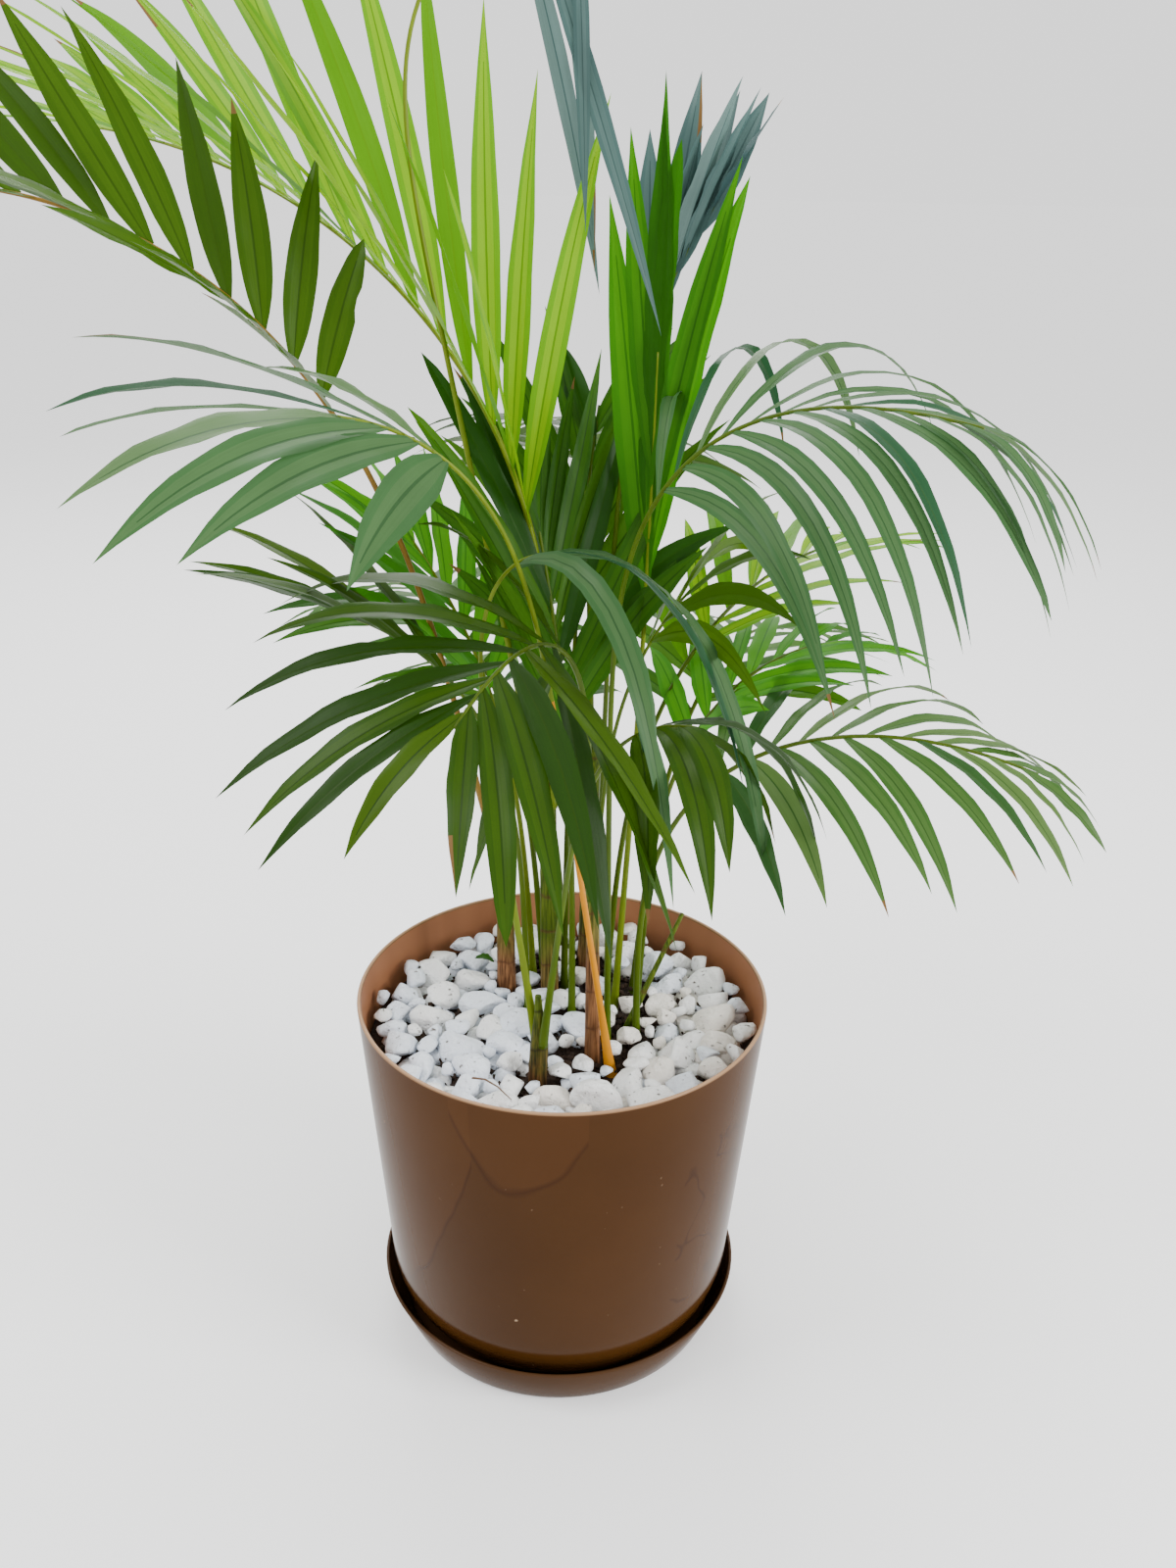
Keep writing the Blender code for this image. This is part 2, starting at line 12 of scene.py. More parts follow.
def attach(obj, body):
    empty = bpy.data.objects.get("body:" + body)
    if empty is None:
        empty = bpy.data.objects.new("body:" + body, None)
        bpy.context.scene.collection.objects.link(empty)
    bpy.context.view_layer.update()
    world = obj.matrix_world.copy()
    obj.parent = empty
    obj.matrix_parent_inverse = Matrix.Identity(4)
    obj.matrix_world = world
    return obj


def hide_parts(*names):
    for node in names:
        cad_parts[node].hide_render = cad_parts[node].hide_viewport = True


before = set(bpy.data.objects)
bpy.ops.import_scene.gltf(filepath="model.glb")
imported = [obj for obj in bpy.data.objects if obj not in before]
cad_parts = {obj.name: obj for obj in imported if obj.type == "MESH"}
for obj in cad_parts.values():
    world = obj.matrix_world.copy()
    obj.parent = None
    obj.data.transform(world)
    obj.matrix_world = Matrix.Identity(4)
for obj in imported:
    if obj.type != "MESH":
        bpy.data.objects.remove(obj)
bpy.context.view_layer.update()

# The camera stands in front of the pot at the height of the middle fronds and looks down at it. Its place,
# tilt and roll were worked out from the pot's rim, the pebbles and the saucer.
CAMERA_PLACE = Vector((0.0136, -0.7490, 0.7137))
CAMERA_TILT = math.radians(23.86)
CAMERA_ROLL = math.radians(1.13)
LENS, SENSOR_HEIGHT = 31.5, 36
camera_data = bpy.data.cameras.new("camera")
camera_data.sensor_fit = "VERTICAL"
camera_data.sensor_height = SENSOR_HEIGHT
camera_data.lens = LENS
camera = bpy.data.objects.new("camera", camera_data)
bpy.context.scene.collection.objects.link(camera)
forward = Vector((0, math.cos(CAMERA_TILT), -math.sin(CAMERA_TILT)))
upward = Vector((1, 0, 0)).cross(forward)
across = Vector((1, 0, 0)) * math.cos(CAMERA_ROLL) + upward * math.sin(CAMERA_ROLL)
camera.matrix_world = Matrix.Translation(CAMERA_PLACE) @ Matrix(
    (across, across.cross(forward), -forward)).transposed().to_4x4()
bpy.context.scene.camera = camera

# Plain soft studio light: a bright even surround, a large panel high on the left, a weaker one on the right,
# and one behind, which shines through the upright leaflets.
SURROUND = 1.5
LIT_POINT = Vector((0, 0, 0.45))
world = bpy.data.worlds.new("surround")
world.use_nodes = True
world.node_tree.nodes["Background"].inputs["Color"].default_value = (1, 1, 1, 1)
world.node_tree.nodes["Background"].inputs["Strength"].default_value = SURROUND
bpy.context.scene.world = world
for name, place, size, power in (
    ("panel_left", (-1.5, -0.5, 2.2), 1.0, 40),
    ("panel_right", (1.6, -0.8, 1.0), 0.8, 40),
    ("panel_back", (-0.3, 1.9, 2.0), 1.2, 42),
):
    light = bpy.data.lights.new(name, "AREA")
    light.size = size
    light.energy = power
    panel = bpy.data.objects.new(name, light)
    panel.matrix_world = Matrix.Translation(place) @ (
        Vector(place) - LIT_POINT).to_track_quat("Z", "Y").to_matrix().to_4x4()
    bpy.context.scene.collection.objects.link(panel)


class Wire:
    """A node socket that takes part in sums: each operator adds a Math node."""

    def __init__(self, tree, socket):
        self.tree = tree
        self.socket = socket

    def node(self, kind, settings=(), give=0, **values):
        """Adds a node, sets it up, gives its sockets values or links, and returns the output named by give.

        Underscores in a socket's name stand for spaces, and i2 is the third input.
        """
        made = self.tree.nodes.new("ShaderNode" + kind)
        for key, value in dict(settings).items():
            setattr(made, key, value)
        for key, value in values.items():
            numbered = key[0] == "i" and key[1:].isdigit()
            socket = made.inputs[int(key[1:]) if numbered else key.replace("_", " ")]
            if isinstance(value, Wire):
                self.tree.links.new(value.socket, socket)
            else:
                socket.default_value = value
        return Wire(self.tree, made.outputs[give])

    def sum_of(self, operation, first, second=0.0):
        return self.node("Math", {"operation": operation}, i0=first, i1=second)

    def __add__(self, other):
        return self.sum_of("ADD", self, other)

    def __sub__(self, other):
        return self.sum_of("SUBTRACT", self, other)

    def __rsub__(self, other):
        return self.sum_of("SUBTRACT", other, self)

    def __mul__(self, other):
        return self.sum_of("MULTIPLY", self, other)

    def __abs__(self):
        return self.sum_of("ABSOLUTE", self)

    def __gt__(self, other):
        return self.sum_of("GREATER_THAN", self, other)

    def __lt__(self, other):
        return self.sum_of("LESS_THAN", self, other)

    __radd__ = __add__
    __rmul__ = __mul__


def finish_of(name, roughness, **sockets):
    """A Principled material: its shader, and a Wire on the object's own coordinates."""
    made = bpy.data.materials.new(name)
    made.use_nodes = True
    shader = made.node_tree.nodes["Principled BSDF"]
    shader.inputs["Roughness"].default_value = roughness
    for key, value in sockets.items():
        shader.inputs[key.replace("_", " ")].default_value = value
    start = Wire(made.node_tree, None).node("TexCoord", give="Object")
    return made, shader, start


def link(shader, name, wire):
    wire.tree.links.new(wire.socket, shader.inputs[name])


def mixed(factor, first, second):
    """A colour between two others, each an RGB triple or a Wire."""
    first, second = (end if isinstance(end, Wire) else (*end, 1) for end in (first, second))
    return factor.node("Mix", {"data_type": "RGBA"}, give="Result", Factor=factor, A=first, B=second)


def relief(shader, height, strength, depth):
    link(shader, "Normal", height.node("Bump", Height=height, Strength=strength, Distance=depth))


def piece_from(name, bm, materials, slot, *nodes):
    """Makes a bmesh a finished piece that rides on the plant and stands for its CAD nodes."""
    mesh = bpy.data.meshes.new(name)
    bm.to_mesh(mesh)
    bm.free()
    for made in materials:
        mesh.materials.append(made)
    mesh.shade_smooth()
    piece = bpy.data.objects.new(name, mesh)
    bpy.context.scene.collection.objects.link(piece)
    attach(piece, "root")
    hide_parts(*nodes)
    return piece


# The floor is a plain pale board that the saucer stands on. It is not part of the plant.
FLOOR_HALF, FLOOR_LEVEL, FLOOR_SHADE, FLOOR_GLOW = 60.0, -0.0004, (0.8, 0.8, 0.8, 1), 0.3
floor_bm = bmesh.new()
bmesh.ops.create_grid(floor_bm, x_segments=1, y_segments=1, size=FLOOR_HALF,
                      matrix=Matrix.Translation((0, 0, FLOOR_LEVEL)))
floor_mesh = bpy.data.meshes.new("floor")
floor_bm.to_mesh(floor_mesh)
floor_bm.free()
floor = bpy.data.objects.new("floor", floor_mesh)
bpy.context.scene.collection.objects.link(floor)
floor_finish, floor_shader, _ = finish_of("pale_floor", 0.9, Emission_Strength=FLOOR_GLOW)
floor_shader.inputs["Base Color"].default_value = FLOOR_SHADE
floor_shader.inputs["Emission Color"].default_value = (1, 1, 1, 1)
floor_mesh.materials.append(floor_finish)

# The saucer and the pot are moulded in one glossy coffee-brown plastic. Both are thin turned shells with a
# rounded lip. Water has dried on the wall: a film with a dark edge in front, curled marks on the right.
ROUND = 160
SAUCER_HEIGHT, SAUCER_RIM, SAUCER_FOOT, SAUCER_WALL, SAUCER_FLOOR = 0.0335, 0.120, 0.1076, 0.0024, 0.004
POT_HEIGHT, POT_RIM, POT_SHOULDER, POT_SHOULDER_HEIGHT, POT_FOOT = 0.240, 0.130, 0.1152, 0.058, 0.078
POT_WALL, POT_FLOOR, POT_BOTTOM = 0.0026, 0.003, 0.0043
LIP_BAND, LIP_FADE, FOOT_ROUND = 0.0016, 600, 0.004
COFFEE_DARK, COFFEE_LIGHT = (0.032, 0.0115, 0.0020), (0.053, 0.021, 0.0048)
SAUCER_DARK, SAUCER_LIGHT = (0.036, 0.016, 0.006), (0.058, 0.028, 0.012)
STAIN_EDGE, STAIN_FILM, LIME = (0.021, 0.0055, 0.0010), (0.095, 0.036, 0.010), (0.36, 0.25, 0.16)
# The second colour is the inner wall's, lightened as painted light.
LIP_TAN, INNER_ROSE_PAINTED_LIGHT = (0.42, 0.25, 0.14), (0.34, 0.145, 0.068)
# Each drip is a parabola on the wall: its middle in radians from the front, its lowest height, how fast it
# rises to both sides, and the two ends of the line.
DRIPS = ((-0.17, 0.177, 0.455, -0.50, 0.14), (-1.155, 0.0535, 0.245, -1.16, -0.40))
DRIP_HALF, DRIP_WOBBLE, DRIP_DARK, FILM_DARK, CURL_DARK = 0.0042, 0.026, 0.9, 0.12, 0.6
CURLS_FROM, CURLS_TO, CURLS_LOW, CURLS_TOP, CURL_FINE = 0.66, 1.12, 0.06, 0.19, 45
SPOT_RARITY, SPOT_EDGE = 0.77, 9


def turned(bm, profile):
    points = [bm.verts.new((radius, 0, height)) for radius, height in profile]
    edges = [bm.edges.new(pair) for pair in zip(points, points[1:])]
    bmesh.ops.spin(bm, geom=points + edges, axis=(0, 0, 1), cent=(0, 0, 0), angle=math.tau, steps=ROUND,
                   use_merge=True)
    bmesh.ops.remove_doubles(bm, verts=bm.verts, dist=0.00001)
    bmesh.ops.recalc_face_normals(bm, faces=bm.faces)


def rounded(radius, height, wall):
    """The points of a round lip, from its outer to its inner side."""
    half = wall / 2
    turns = [math.radians(turn) for turn in range(0, 181, 30)]
    return [(radius - half + half * math.cos(turn), height - half + half * math.sin(turn)) for turn in turns]


def pot_radius(height):
    if height >= POT_SHOULDER_HEIGHT:
        share = (height - POT_SHOULDER_HEIGHT) / (POT_HEIGHT - POT_SHOULDER_HEIGHT)
        return POT_SHOULDER + (POT_RIM - POT_SHOULDER) * share
    share = (POT_SHOULDER_HEIGHT - height) / (POT_SHOULDER_HEIGHT - POT_BOTTOM)
    return POT_FOOT + (POT_SHOULDER - POT_FOOT) * math.sqrt(max(0.0, 1 - share * share))


def bottom_heights(low, steps):
    return [low + (POT_SHOULDER_HEIGHT - low) * (1 - math.cos(math.radians(90 * i / steps)))
            for i in range(steps + 1)]


def plastic_finish(name, dark, light, gloss, stained):
    """Moulded plastic with faint clouds, and dried water marks on the pot's wall."""
    made, shader, here = finish_of(name, 0.2, Specular_IOR_Level=gloss)
    cloud = here.node("TexNoise", Vector=here, Scale=9.0, Detail=4.0)
    grain = here.node("TexNoise", Vector=here, Scale=420.0, Detail=2.0)
    colour = mixed(cloud, dark, light)
    if stained:
        across_here = here.node("SeparateXYZ", Vector=here)
        height = Wire(here.tree, across_here.socket.node.outputs["Z"])
        depth = Wire(here.tree, across_here.socket.node.outputs["Y"])
        turn = here.sum_of("ARCTAN2", across_here, depth * -1)
        wobble = here.node("TexNoise", Vector=here, Scale=26.0, Detail=1.0) * DRIP_WOBBLE
        for middle, lowest, climb, start, end in DRIPS:
            off = turn - middle
            over = height - (off * off * climb + lowest - DRIP_WOBBLE / 2) - wobble
            inside = (turn > start) * (turn < end)
            edge = here.sum_of("MAXIMUM", 1 - abs(over) * (1 / DRIP_HALF), 0.0)
            colour = mixed((over > 0) * inside * FILM_DARK, colour, STAIN_FILM)
            colour = mixed(edge * inside * cloud * DRIP_DARK, colour, STAIN_EDGE)
        curl = here.node("TexNoise", Vector=here, Scale=30.0, Detail=1.0)
        curls = here.sum_of("MAXIMUM", 1 - abs(curl - 0.5) * CURL_FINE, 0.0)
        curls = curls * (turn > CURLS_FROM) * (turn < CURLS_TO) * (height > CURLS_LOW) * (height < CURLS_TOP)
        colour = mixed(curls * CURL_DARK, colour, STAIN_EDGE)
        splash = here.node("TexNoise", Vector=here, Scale=190.0, Detail=1.0)
        spots = here.sum_of("MAXIMUM", splash - SPOT_RARITY, 0.0) * SPOT_EDGE * (height < CURLS_TOP)
        colour = mixed(spots, colour, LIME)
        lip = here.sum_of("MAXIMUM", height - (POT_HEIGHT - LIP_BAND), 0.0) * LIP_FADE
        colour = mixed(lip, colour, LIP_TAN)
    link(shader, "Base Color", colour)
    link(shader, "Roughness", cloud * 0.14 + 0.10)
    relief(shader, grain, 0.06, 0.0004)
    return made


saucer_bm = bmesh.new()
inner_foot = SAUCER_FOOT - SAUCER_WALL
corner = FOOT_ROUND / 4
turned(saucer_bm, [(0, 0), (SAUCER_FOOT - FOOT_ROUND, 0), (SAUCER_FOOT - corner, corner),
                   (SAUCER_FOOT, FOOT_ROUND - corner)]
       + rounded(SAUCER_RIM, SAUCER_HEIGHT, SAUCER_WALL)
       + [(inner_foot, SAUCER_FLOOR + FOOT_ROUND - corner), (inner_foot - corner, SAUCER_FLOOR + corner),
          (inner_foot - FOOT_ROUND, SAUCER_FLOOR), (0, SAUCER_FLOOR)])
saucer_plastic = plastic_finish("saucer_plastic", SAUCER_DARK, SAUCER_LIGHT, 0.06, False)
piece_from("saucer_shell", saucer_bm, [saucer_plastic], "pot_plastic", "saucer")

# The inner wall's rosy brown is far lighter than the outer plastic: painted light against the shade inside
# the pot.
FILM_SHADE = 0.72
inner_plastic, inner_shader, here = finish_of("inner_plastic", 0.45, Specular_IOR_Level=0.12)
film = here.node("TexNoise", Vector=here, Scale=24.0, Detail=5.0)
link(inner_shader, "Base Color", mixed(film, INNER_ROSE_PAINTED_LIGHT, tuple(part * FILM_SHADE for part in INNER_ROSE_PAINTED_LIGHT)))
pot_bm = bmesh.new()
outer = [(pot_radius(height), height) for height in bottom_heights(POT_BOTTOM, 12)]
inner = [(pot_radius(height) - POT_WALL, height) for height in bottom_heights(POT_BOTTOM + POT_FLOOR, 8)]
turned(pot_bm, [(0, POT_BOTTOM)] + outer + rounded(POT_RIM, POT_HEIGHT, POT_WALL) + inner[::-1]
       + [(0, POT_BOTTOM + POT_FLOOR)])
for face in pot_bm.faces:
    middle = face.calc_center_median()
    if middle.z < POT_HEIGHT - POT_WALL and face.normal.xy.dot(middle.xy) < 0:
        face.material_index = 1
wall_plastic = plastic_finish("wall_plastic", COFFEE_DARK, COFFEE_LIGHT, 0.08, True)
piece_from("pot_shell", pot_bm, [wall_plastic, inner_plastic], "pot_plastic", "pot")

# The pot is filled with dark crumbly peat, which shows between the pebbles, round the stems and in a few bare
# patches. It is heaped a little between the pebbles, and loose crumbs lie on top of it.
SOIL_TOP, BED_TOP, BED_RADIUS, PEAT_RISE, SOIL_SPARE = 0.196, 0.212, 0.1225, 0.010, 0.0005
SKIRT_LOW, SOIL_SIDES, SOIL_RINGS, LUMPS, SMALL_LUMPS = 0.030, 96, 14, 0.004, 0.002
CRUMB_COUNT, CRUMB_SMALL, CRUMB_LARGE, CRUMB_MARGIN, SOIL_SEED = 2200, 0.0008, 0.0028, 0.006, 5
PEAT_DARK, PEAT_LIGHT = (0.004, 0.002, 0.001), (0.062, 0.030, 0.014)
peat, peat_shader, here = finish_of("peat", 0.95)
crumb = here.node("TexNoise", Vector=here, Scale=260.0, Detail=6.0)
link(peat_shader, "Base Color", mixed(crumb, PEAT_DARK, PEAT_LIGHT))
relief(peat_shader, crumb, 0.9, 0.002)
soil_bm = bmesh.new()
soil_radius = pot_radius(SOIL_TOP) - POT_WALL - SOIL_SPARE
bmesh.ops.create_circle(soil_bm, cap_ends=True, segments=SOIL_SIDES, radius=soil_radius,
                        matrix=Matrix.Translation((0, 0, SOIL_TOP + PEAT_RISE)))
for _ in range(SOIL_RINGS):
    top = max(soil_bm.faces, key=lambda face: face.calc_area())
    bmesh.ops.inset_region(soil_bm, faces=[top], thickness=soil_radius / (SOIL_RINGS + 2))
for vert in soil_bm.verts:
    if vert.co.xy.length < soil_radius * 0.98:
        vert.co.z += LUMPS * noise.noise(vert.co * 60) + SMALL_LUMPS * noise.noise(vert.co * 170)
rim_edges = [edge for edge in soil_bm.edges if edge.is_boundary]
skirt = bmesh.ops.extrude_edge_only(soil_bm, edges=rim_edges)["geom"]
for vert in skirt:
    if isinstance(vert, bmesh.types.BMVert):
        vert.co.z = SKIRT_LOW
        vert.co.xy = vert.co.xy * ((pot_radius(SKIRT_LOW) - POT_WALL - SOIL_SPARE) / soil_radius)
bmesh.ops.holes_fill(soil_bm, edges=[edge for edge in soil_bm.edges if edge.is_boundary])
bmesh.ops.recalc_face_normals(soil_bm, faces=soil_bm.faces)
piece_from("soil_bed", soil_bm, [peat], "peat", "soil")

dice = random.Random(SOIL_SEED)
crumb_bm = bmesh.new()
for _ in range(CRUMB_COUNT):
    reach, angle = (BED_RADIUS - CRUMB_MARGIN) * math.sqrt(dice.random()), dice.uniform(0, math.tau)
    size = dice.uniform(CRUMB_SMALL, CRUMB_LARGE)
    height = SOIL_TOP + PEAT_RISE + dice.uniform(0, LUMPS)
    spot = Matrix.Translation((reach * math.cos(angle), reach * math.sin(angle), height))
    for vert in bmesh.ops.create_icosphere(crumb_bm, subdivisions=1, radius=size)["verts"]:
        vert.co = spot @ (vert.co * dice.uniform(0.6, 1.2))
piece_from("peat_crumbs", crumb_bm, [peat], "peat", "soil")

# The palm grows by one rule: canes stand on the soil, and fronds rise from the soil or from a cane's top. The
# named sizes are those of the solids, and the finer leaflets keep to the same ribs and reach.
GAP = 0.0003
PETIOLE_RADIUS, RIB_TIP_RADIUS, RIB_STATIONS, RIB_STEPS = 0.0023, 0.0009, 12, 8
SEAT_SPARE, CURL_POWER = 0.0002, 1.5
BLADE_END, FULL_TIP, FULL_POWER, DROOP_POWER, TIP_WIDTH = 0.985, 0.86, 0.8, 1.4, 0.7
SWEEP_SPREAD, RISE_SPREAD, LENGTH_SPREAD, WIDTH_SPREAD, DROOP_SPREAD = 4, 6, 0.08, 0.1, 0.2
LEAFLET_PLACES = {1: 0.25, -1: 0.60}
FROND_SEED = 23
Cane = namedtuple("Cane", "name foot heading lean length foot_radius top_radius")
CANES = (
    Cane("cane_left", (-0.038, 0.040), 110, 3, 0.105, 0.0066, 0.0052),
    Cane("cane_front", (-0.014, -0.060), 60, 4, 0.040, 0.0058, 0.0056),
    Cane("cane_middle", (0.020, -0.035), 120, 2, 0.125, 0.0050, 0.0038),
    Cane("cane_dark", (-0.009, 0.038), 120, 2, 0.150, 0.0060, 0.0056),
    Cane("cane_back", (0.014, 0.078), 60, 3, 0.160, 0.0060, 0.0056),
    Cane("petiole_stub", (0.036, 0.000), 30, 28, 0.098, 0.0024, 0.0014),
)
Frond = namedtuple(
    "Frond",
    "name colour foot seat heading curl lean_foot lean_tip bend knee length "
    "petiole pairs leaflet full_foot width sweep_base sweep_tip rise_left rise_right settle droop",
)
FRONDS = (
    Frond("frond_left_high", "leaf_olive", "cane_left", 180, 185, -4, 13, 108, 3.5, 0.76, 0.66,
          0.455, 15, 0.145, 0.17, 0.021, 52, 5, 5, 75, 0.3, 0.2),
    Frond("frond_left_tall", "leaf_bright", "cane_dark", 0, 160, -12, 0, 86, 2.5, 0.60, 0.60,
          0.29, 16, 0.240, 0.30, 0.0165, 27, 18, 30, 80, 0.4, 0.2),
    Frond("frond_back_top", "leaf_blue", "cane_dark", 180, 0, 0, -11.3, 100, 12, 0.87, 0.570,
          0.91, 2, 0.210, 0.42, 0.0170, 84, 80, -80, -84, 0.1, 0.5),
    Frond("frond_right_top", "leaf_blue", (0.020, 0.062), 0, 20, 0, 1, 39, 7.0, 1.00, 0.52,
          0.82, 4, 0.120, 0.42, 0.021, 15, 5, 70, 60, 0.2, 0.1),
    Frond("frond_centre_bright", "leaf_fresh", (0.033, 0.024), 0, 58, 0, 6, 1, 2.0, 1.00, 0.43,
          0.66, 4, 0.215, 0.40, 0.0205, 8, 3, 0, 0, 1.0, 0.1),
    Frond("frond_right_arch", "leaf_grey", (0.029, -0.020), 0, -15, -15, -1, 99, 8.0, 0.745, 0.55,
          0.66, 11, 0.185, 0.34, 0.0150, 55, 14, 45, -50, 1.2, 2.0),
    Frond("frond_right_low", "leaf_green", (0.048, -0.008), 0, -32, 25, -2, 111, 2.8, 0.73, 0.40,
          0.52, 10, 0.125, 0.30, 0.017, 66, 18, 30, -30, 1.0, 1.2),
    Frond("frond_left_pale", "leaf_grey", (0.033, -0.044), 0, 195, 15, 9, 85, 9.0, 0.89, 0.48,
          0.845, 4, 0.178, 0.14, 0.024, 62, 6, -38, 16, 1.0, 0.6),
    Frond("frond_left_fan", "leaf_dark", "cane_middle", 200, 234, 8, 3, 120, 6.5, 0.66, 0.275,
          0.60, 8, 0.170, 0.28, 0.020, 88, 24, -105, 50, 3.5, 0.9),
    Frond("frond_front_arch", "leaf_grey", "cane_front", 128, 325, 0, -11, 95, 8.0, 1.00, 0.335,
          0.87, 2, 0.240, 0.50, 0.014, 24, 8, -45, -45, 1.0, 4.5),
    Frond("frond_front_right", "leaf_dark", "cane_front", -52, -38, 0, 8, 85, 6.0, 0.95, 0.27,
          0.82, 3, 0.130, 0.30, 0.018, 55, 20, -10, -30, 1.0, 3.0),
    Frond("frond_mid_left", "leaf_fresh", (-0.020, 0.056), 0, 150, 0, 4, 45, 3.0, 0.95, 0.34,
          0.62, 6, 0.130, 0.30, 0.018, 45, 20, 10, 20, 1.0, 0.4),
    Frond("frond_mid_right", "leaf_fresh", (0.048, 0.030), 0, 20, 0, 3, 95, 4.0, 0.90, 0.33,
          0.60, 7, 0.110, 0.30, 0.016, 60, 25, 10, 20, 1.0, 0.6),
    Frond("frond_right_back", "leaf_bright", (0.028, 0.056), 0, 35, 0, 4, 90, 3.0, 0.90, 0.40,
          0.60, 7, 0.125, 0.30, 0.014, 55, 20, 20, 20, 1.0, 0.5),
    Frond("frond_centre_dark", "leaf_green", (0.006, 0.012), 0, 120, 0, 1, 25, 3.0, 1.00, 0.34,
          0.60, 7, 0.170, 0.30, 0.016, 35, 12, 30, 30, 1.0, 0.3),
    Frond("frond_inner_right", "leaf_olive", (0.016, 0.030), 0, -5, 0, 2, 40, 5.0, 1.00, 0.31,
          0.85, 3, 0.165, 0.30, 0.016, 62, 30, 0, -10, 1.0, 0.9),
    Frond("frond_inner_left", "leaf_dark", (-0.022, 0.014), 0, 185, 0, 2, 68, 4.0, 1.00, 0.32,
          0.76, 3, 0.160, 0.30, 0.017, 25, 10, 10, 10, 1.0, 0.5),
    Frond("frond_inner_back", "leaf_green", (0.000, 0.046), 0, 75, 0, 1, 28, 3.5, 1.00, 0.40,
          0.52, 7, 0.145, 0.30, 0.019, 36, 18, 10, 10, 1.0, 0.5),
    Frond("frond_back_left", "leaf_green", (-0.014, 0.074), 0, 125, 0, 8, 112, 3.0, 0.80, 0.40,
          0.55, 8, 0.125, 0.30, 0.016, 75, 25, 0, 10, 1.0, 0.7),
    Frond("frond_back_right", "leaf_green", (0.046, 0.048), 0, 60, 0, 9, 112, 3.0, 0.80, 0.37,
          0.55, 7, 0.120, 0.30, 0.015, 70, 25, 10, 20, 1.0, 0.6),
    Frond("frond_back_arch", "leaf_dark", "cane_back", 180, 95, 0, 14, 118, 2.5, 0.80, 0.38,
          0.50, 8, 0.140, 0.30, 0.016, 70, 25, 5, 5, 1.0, 0.8),
    Frond("frond_back_low", "leaf_green", (0.000, 0.090), 0, 115, 0, 8, 120, 2.5, 0.80, 0.34,
          0.50, 7, 0.120, 0.30, 0.015, 70, 25, 5, 5, 1.0, 0.8),
)


def lerp(low, high, share):
    return low + (high - low) * share


def heading_vector(degrees):
    return Vector((math.cos(math.radians(degrees)), math.sin(math.radians(degrees)), 0))


def cane_axis(cane):
    lean = math.radians(cane.lean)
    way = heading_vector(cane.heading) * math.sin(lean) + Vector((0, 0, math.cos(lean)))
    foot = Vector((*cane.foot, SOIL_TOP + GAP))
    return foot, foot + way * cane.length, way


def frond_foot(frond):
    if not isinstance(frond.foot, str):
        return Vector((*frond.foot, SOIL_TOP + GAP))
    cane = next(cane for cane in CANES if cane.name == frond.foot)
    off = cane.top_radius - PETIOLE_RADIUS - SEAT_SPARE
    return cane_axis(cane)[1] + heading_vector(frond.seat) * off + Vector((0, 0, GAP))


def frond_way(frond, share):
    bent = share ** frond.bend
    knee = frond.knee ** frond.bend
    lean = math.radians(lerp(frond.lean_foot, frond.lean_tip, bent * (1 + knee) / (bent + knee)))
    level = heading_vector(frond.heading + frond.curl * share ** CURL_POWER)
    return level * math.sin(lean) + Vector((0, 0, math.cos(lean)))


def frond_rib(frond):
    steps = RIB_STEPS * RIB_STATIONS
    points = [frond_foot(frond)]
    for i in range(steps):
        points.append(points[-1] + frond_way(frond, (i + 0.5) / steps) * (frond.length / steps))
    return points


def rib_point(points, share):
    place = share * (len(points) - 1)
    low = min(int(place), len(points) - 2)
    return points[low].lerp(points[low + 1], place - low)


def rib_frame(frond, share):
    way = frond_way(frond, share)
    level = heading_vector(frond.heading + frond.curl * share ** CURL_POWER)
    left = Vector((-level.y, level.x, 0))
    return way, left, way.cross(left)


def skin(bm, lengths, widths, place, kind=lambda along, side: 0, unfold=None):
    """Makes a grid and puts each of its points where place(along, side) says, with side from -1 to 1.

    Each face takes the material that kind says for its middle, and its UV map from unfold(along, side).
    """
    made = bmesh.ops.create_grid(bm, x_segments=lengths, y_segments=widths, size=0.5)["verts"]
    for face in {face for vert in made for face in vert.link_faces}:
        middle = face.calc_center_median()
        face.material_index = kind(middle.x + 0.5, middle.y * 2)
        for loop in face.loops if unfold else ():
            loop[bm.loops.layers.uv.active].uv = unfold(loop.vert.co.x + 0.5, loop.vert.co.y * 2)
    for vert in made:
        vert.co = place(vert.co.x + 0.5, vert.co.y * 2)
    return made


def tube(bm, lengths, around, middle, radius, turn_frame, kind=lambda along, side: 0):
    """A closed tapering tube: a grid wrapped round the line middle(along)."""
    def place(along, side):
        one, two = turn_frame(along)
        angle = math.pi * side
        return middle(along) + (one * math.cos(angle) + two * math.sin(angle)) * radius(along, angle)
    bmesh.ops.remove_doubles(bm, verts=skin(bm, lengths, around, place, kind), dist=0.000005)
    bmesh.ops.holes_fill(bm, edges=[edge for edge in bm.edges if edge.is_boundary])
    bmesh.ops.recalc_face_normals(bm, faces=bm.faces)


# The canes are wrapped in old leaf sheaths: brown, dry and fibrous at the foot, green above, with a few ring
# scars. The topmost sheath narrows round the petioles that it carries. The front one is old and nearly black.
SHEATH_GRIP = 0.034
DRY_DARK, DRY_LIGHT, FRESH_DARK, FRESH_LIGHT = (
    (0.070, 0.028, 0.010), (0.250, 0.115, 0.048), (0.028, 0.054, 0.003), (0.095, 0.135, 0.010))
OLD_DARK, OLD_LIGHT = (0.010, 0.005, 0.002), (0.100, 0.046, 0.016)
SCAR_SPACING, SCAR_SWELL, SCAR_DEPTH, GROOVES, FOOT_FLARE, FLARE_REACH = 0.026, 0.04, 0.6, 0.03, 0.12, 0.006
SHEATH_ROWS, SHEATH_SIDES, FADE = 72, 20, 0.050


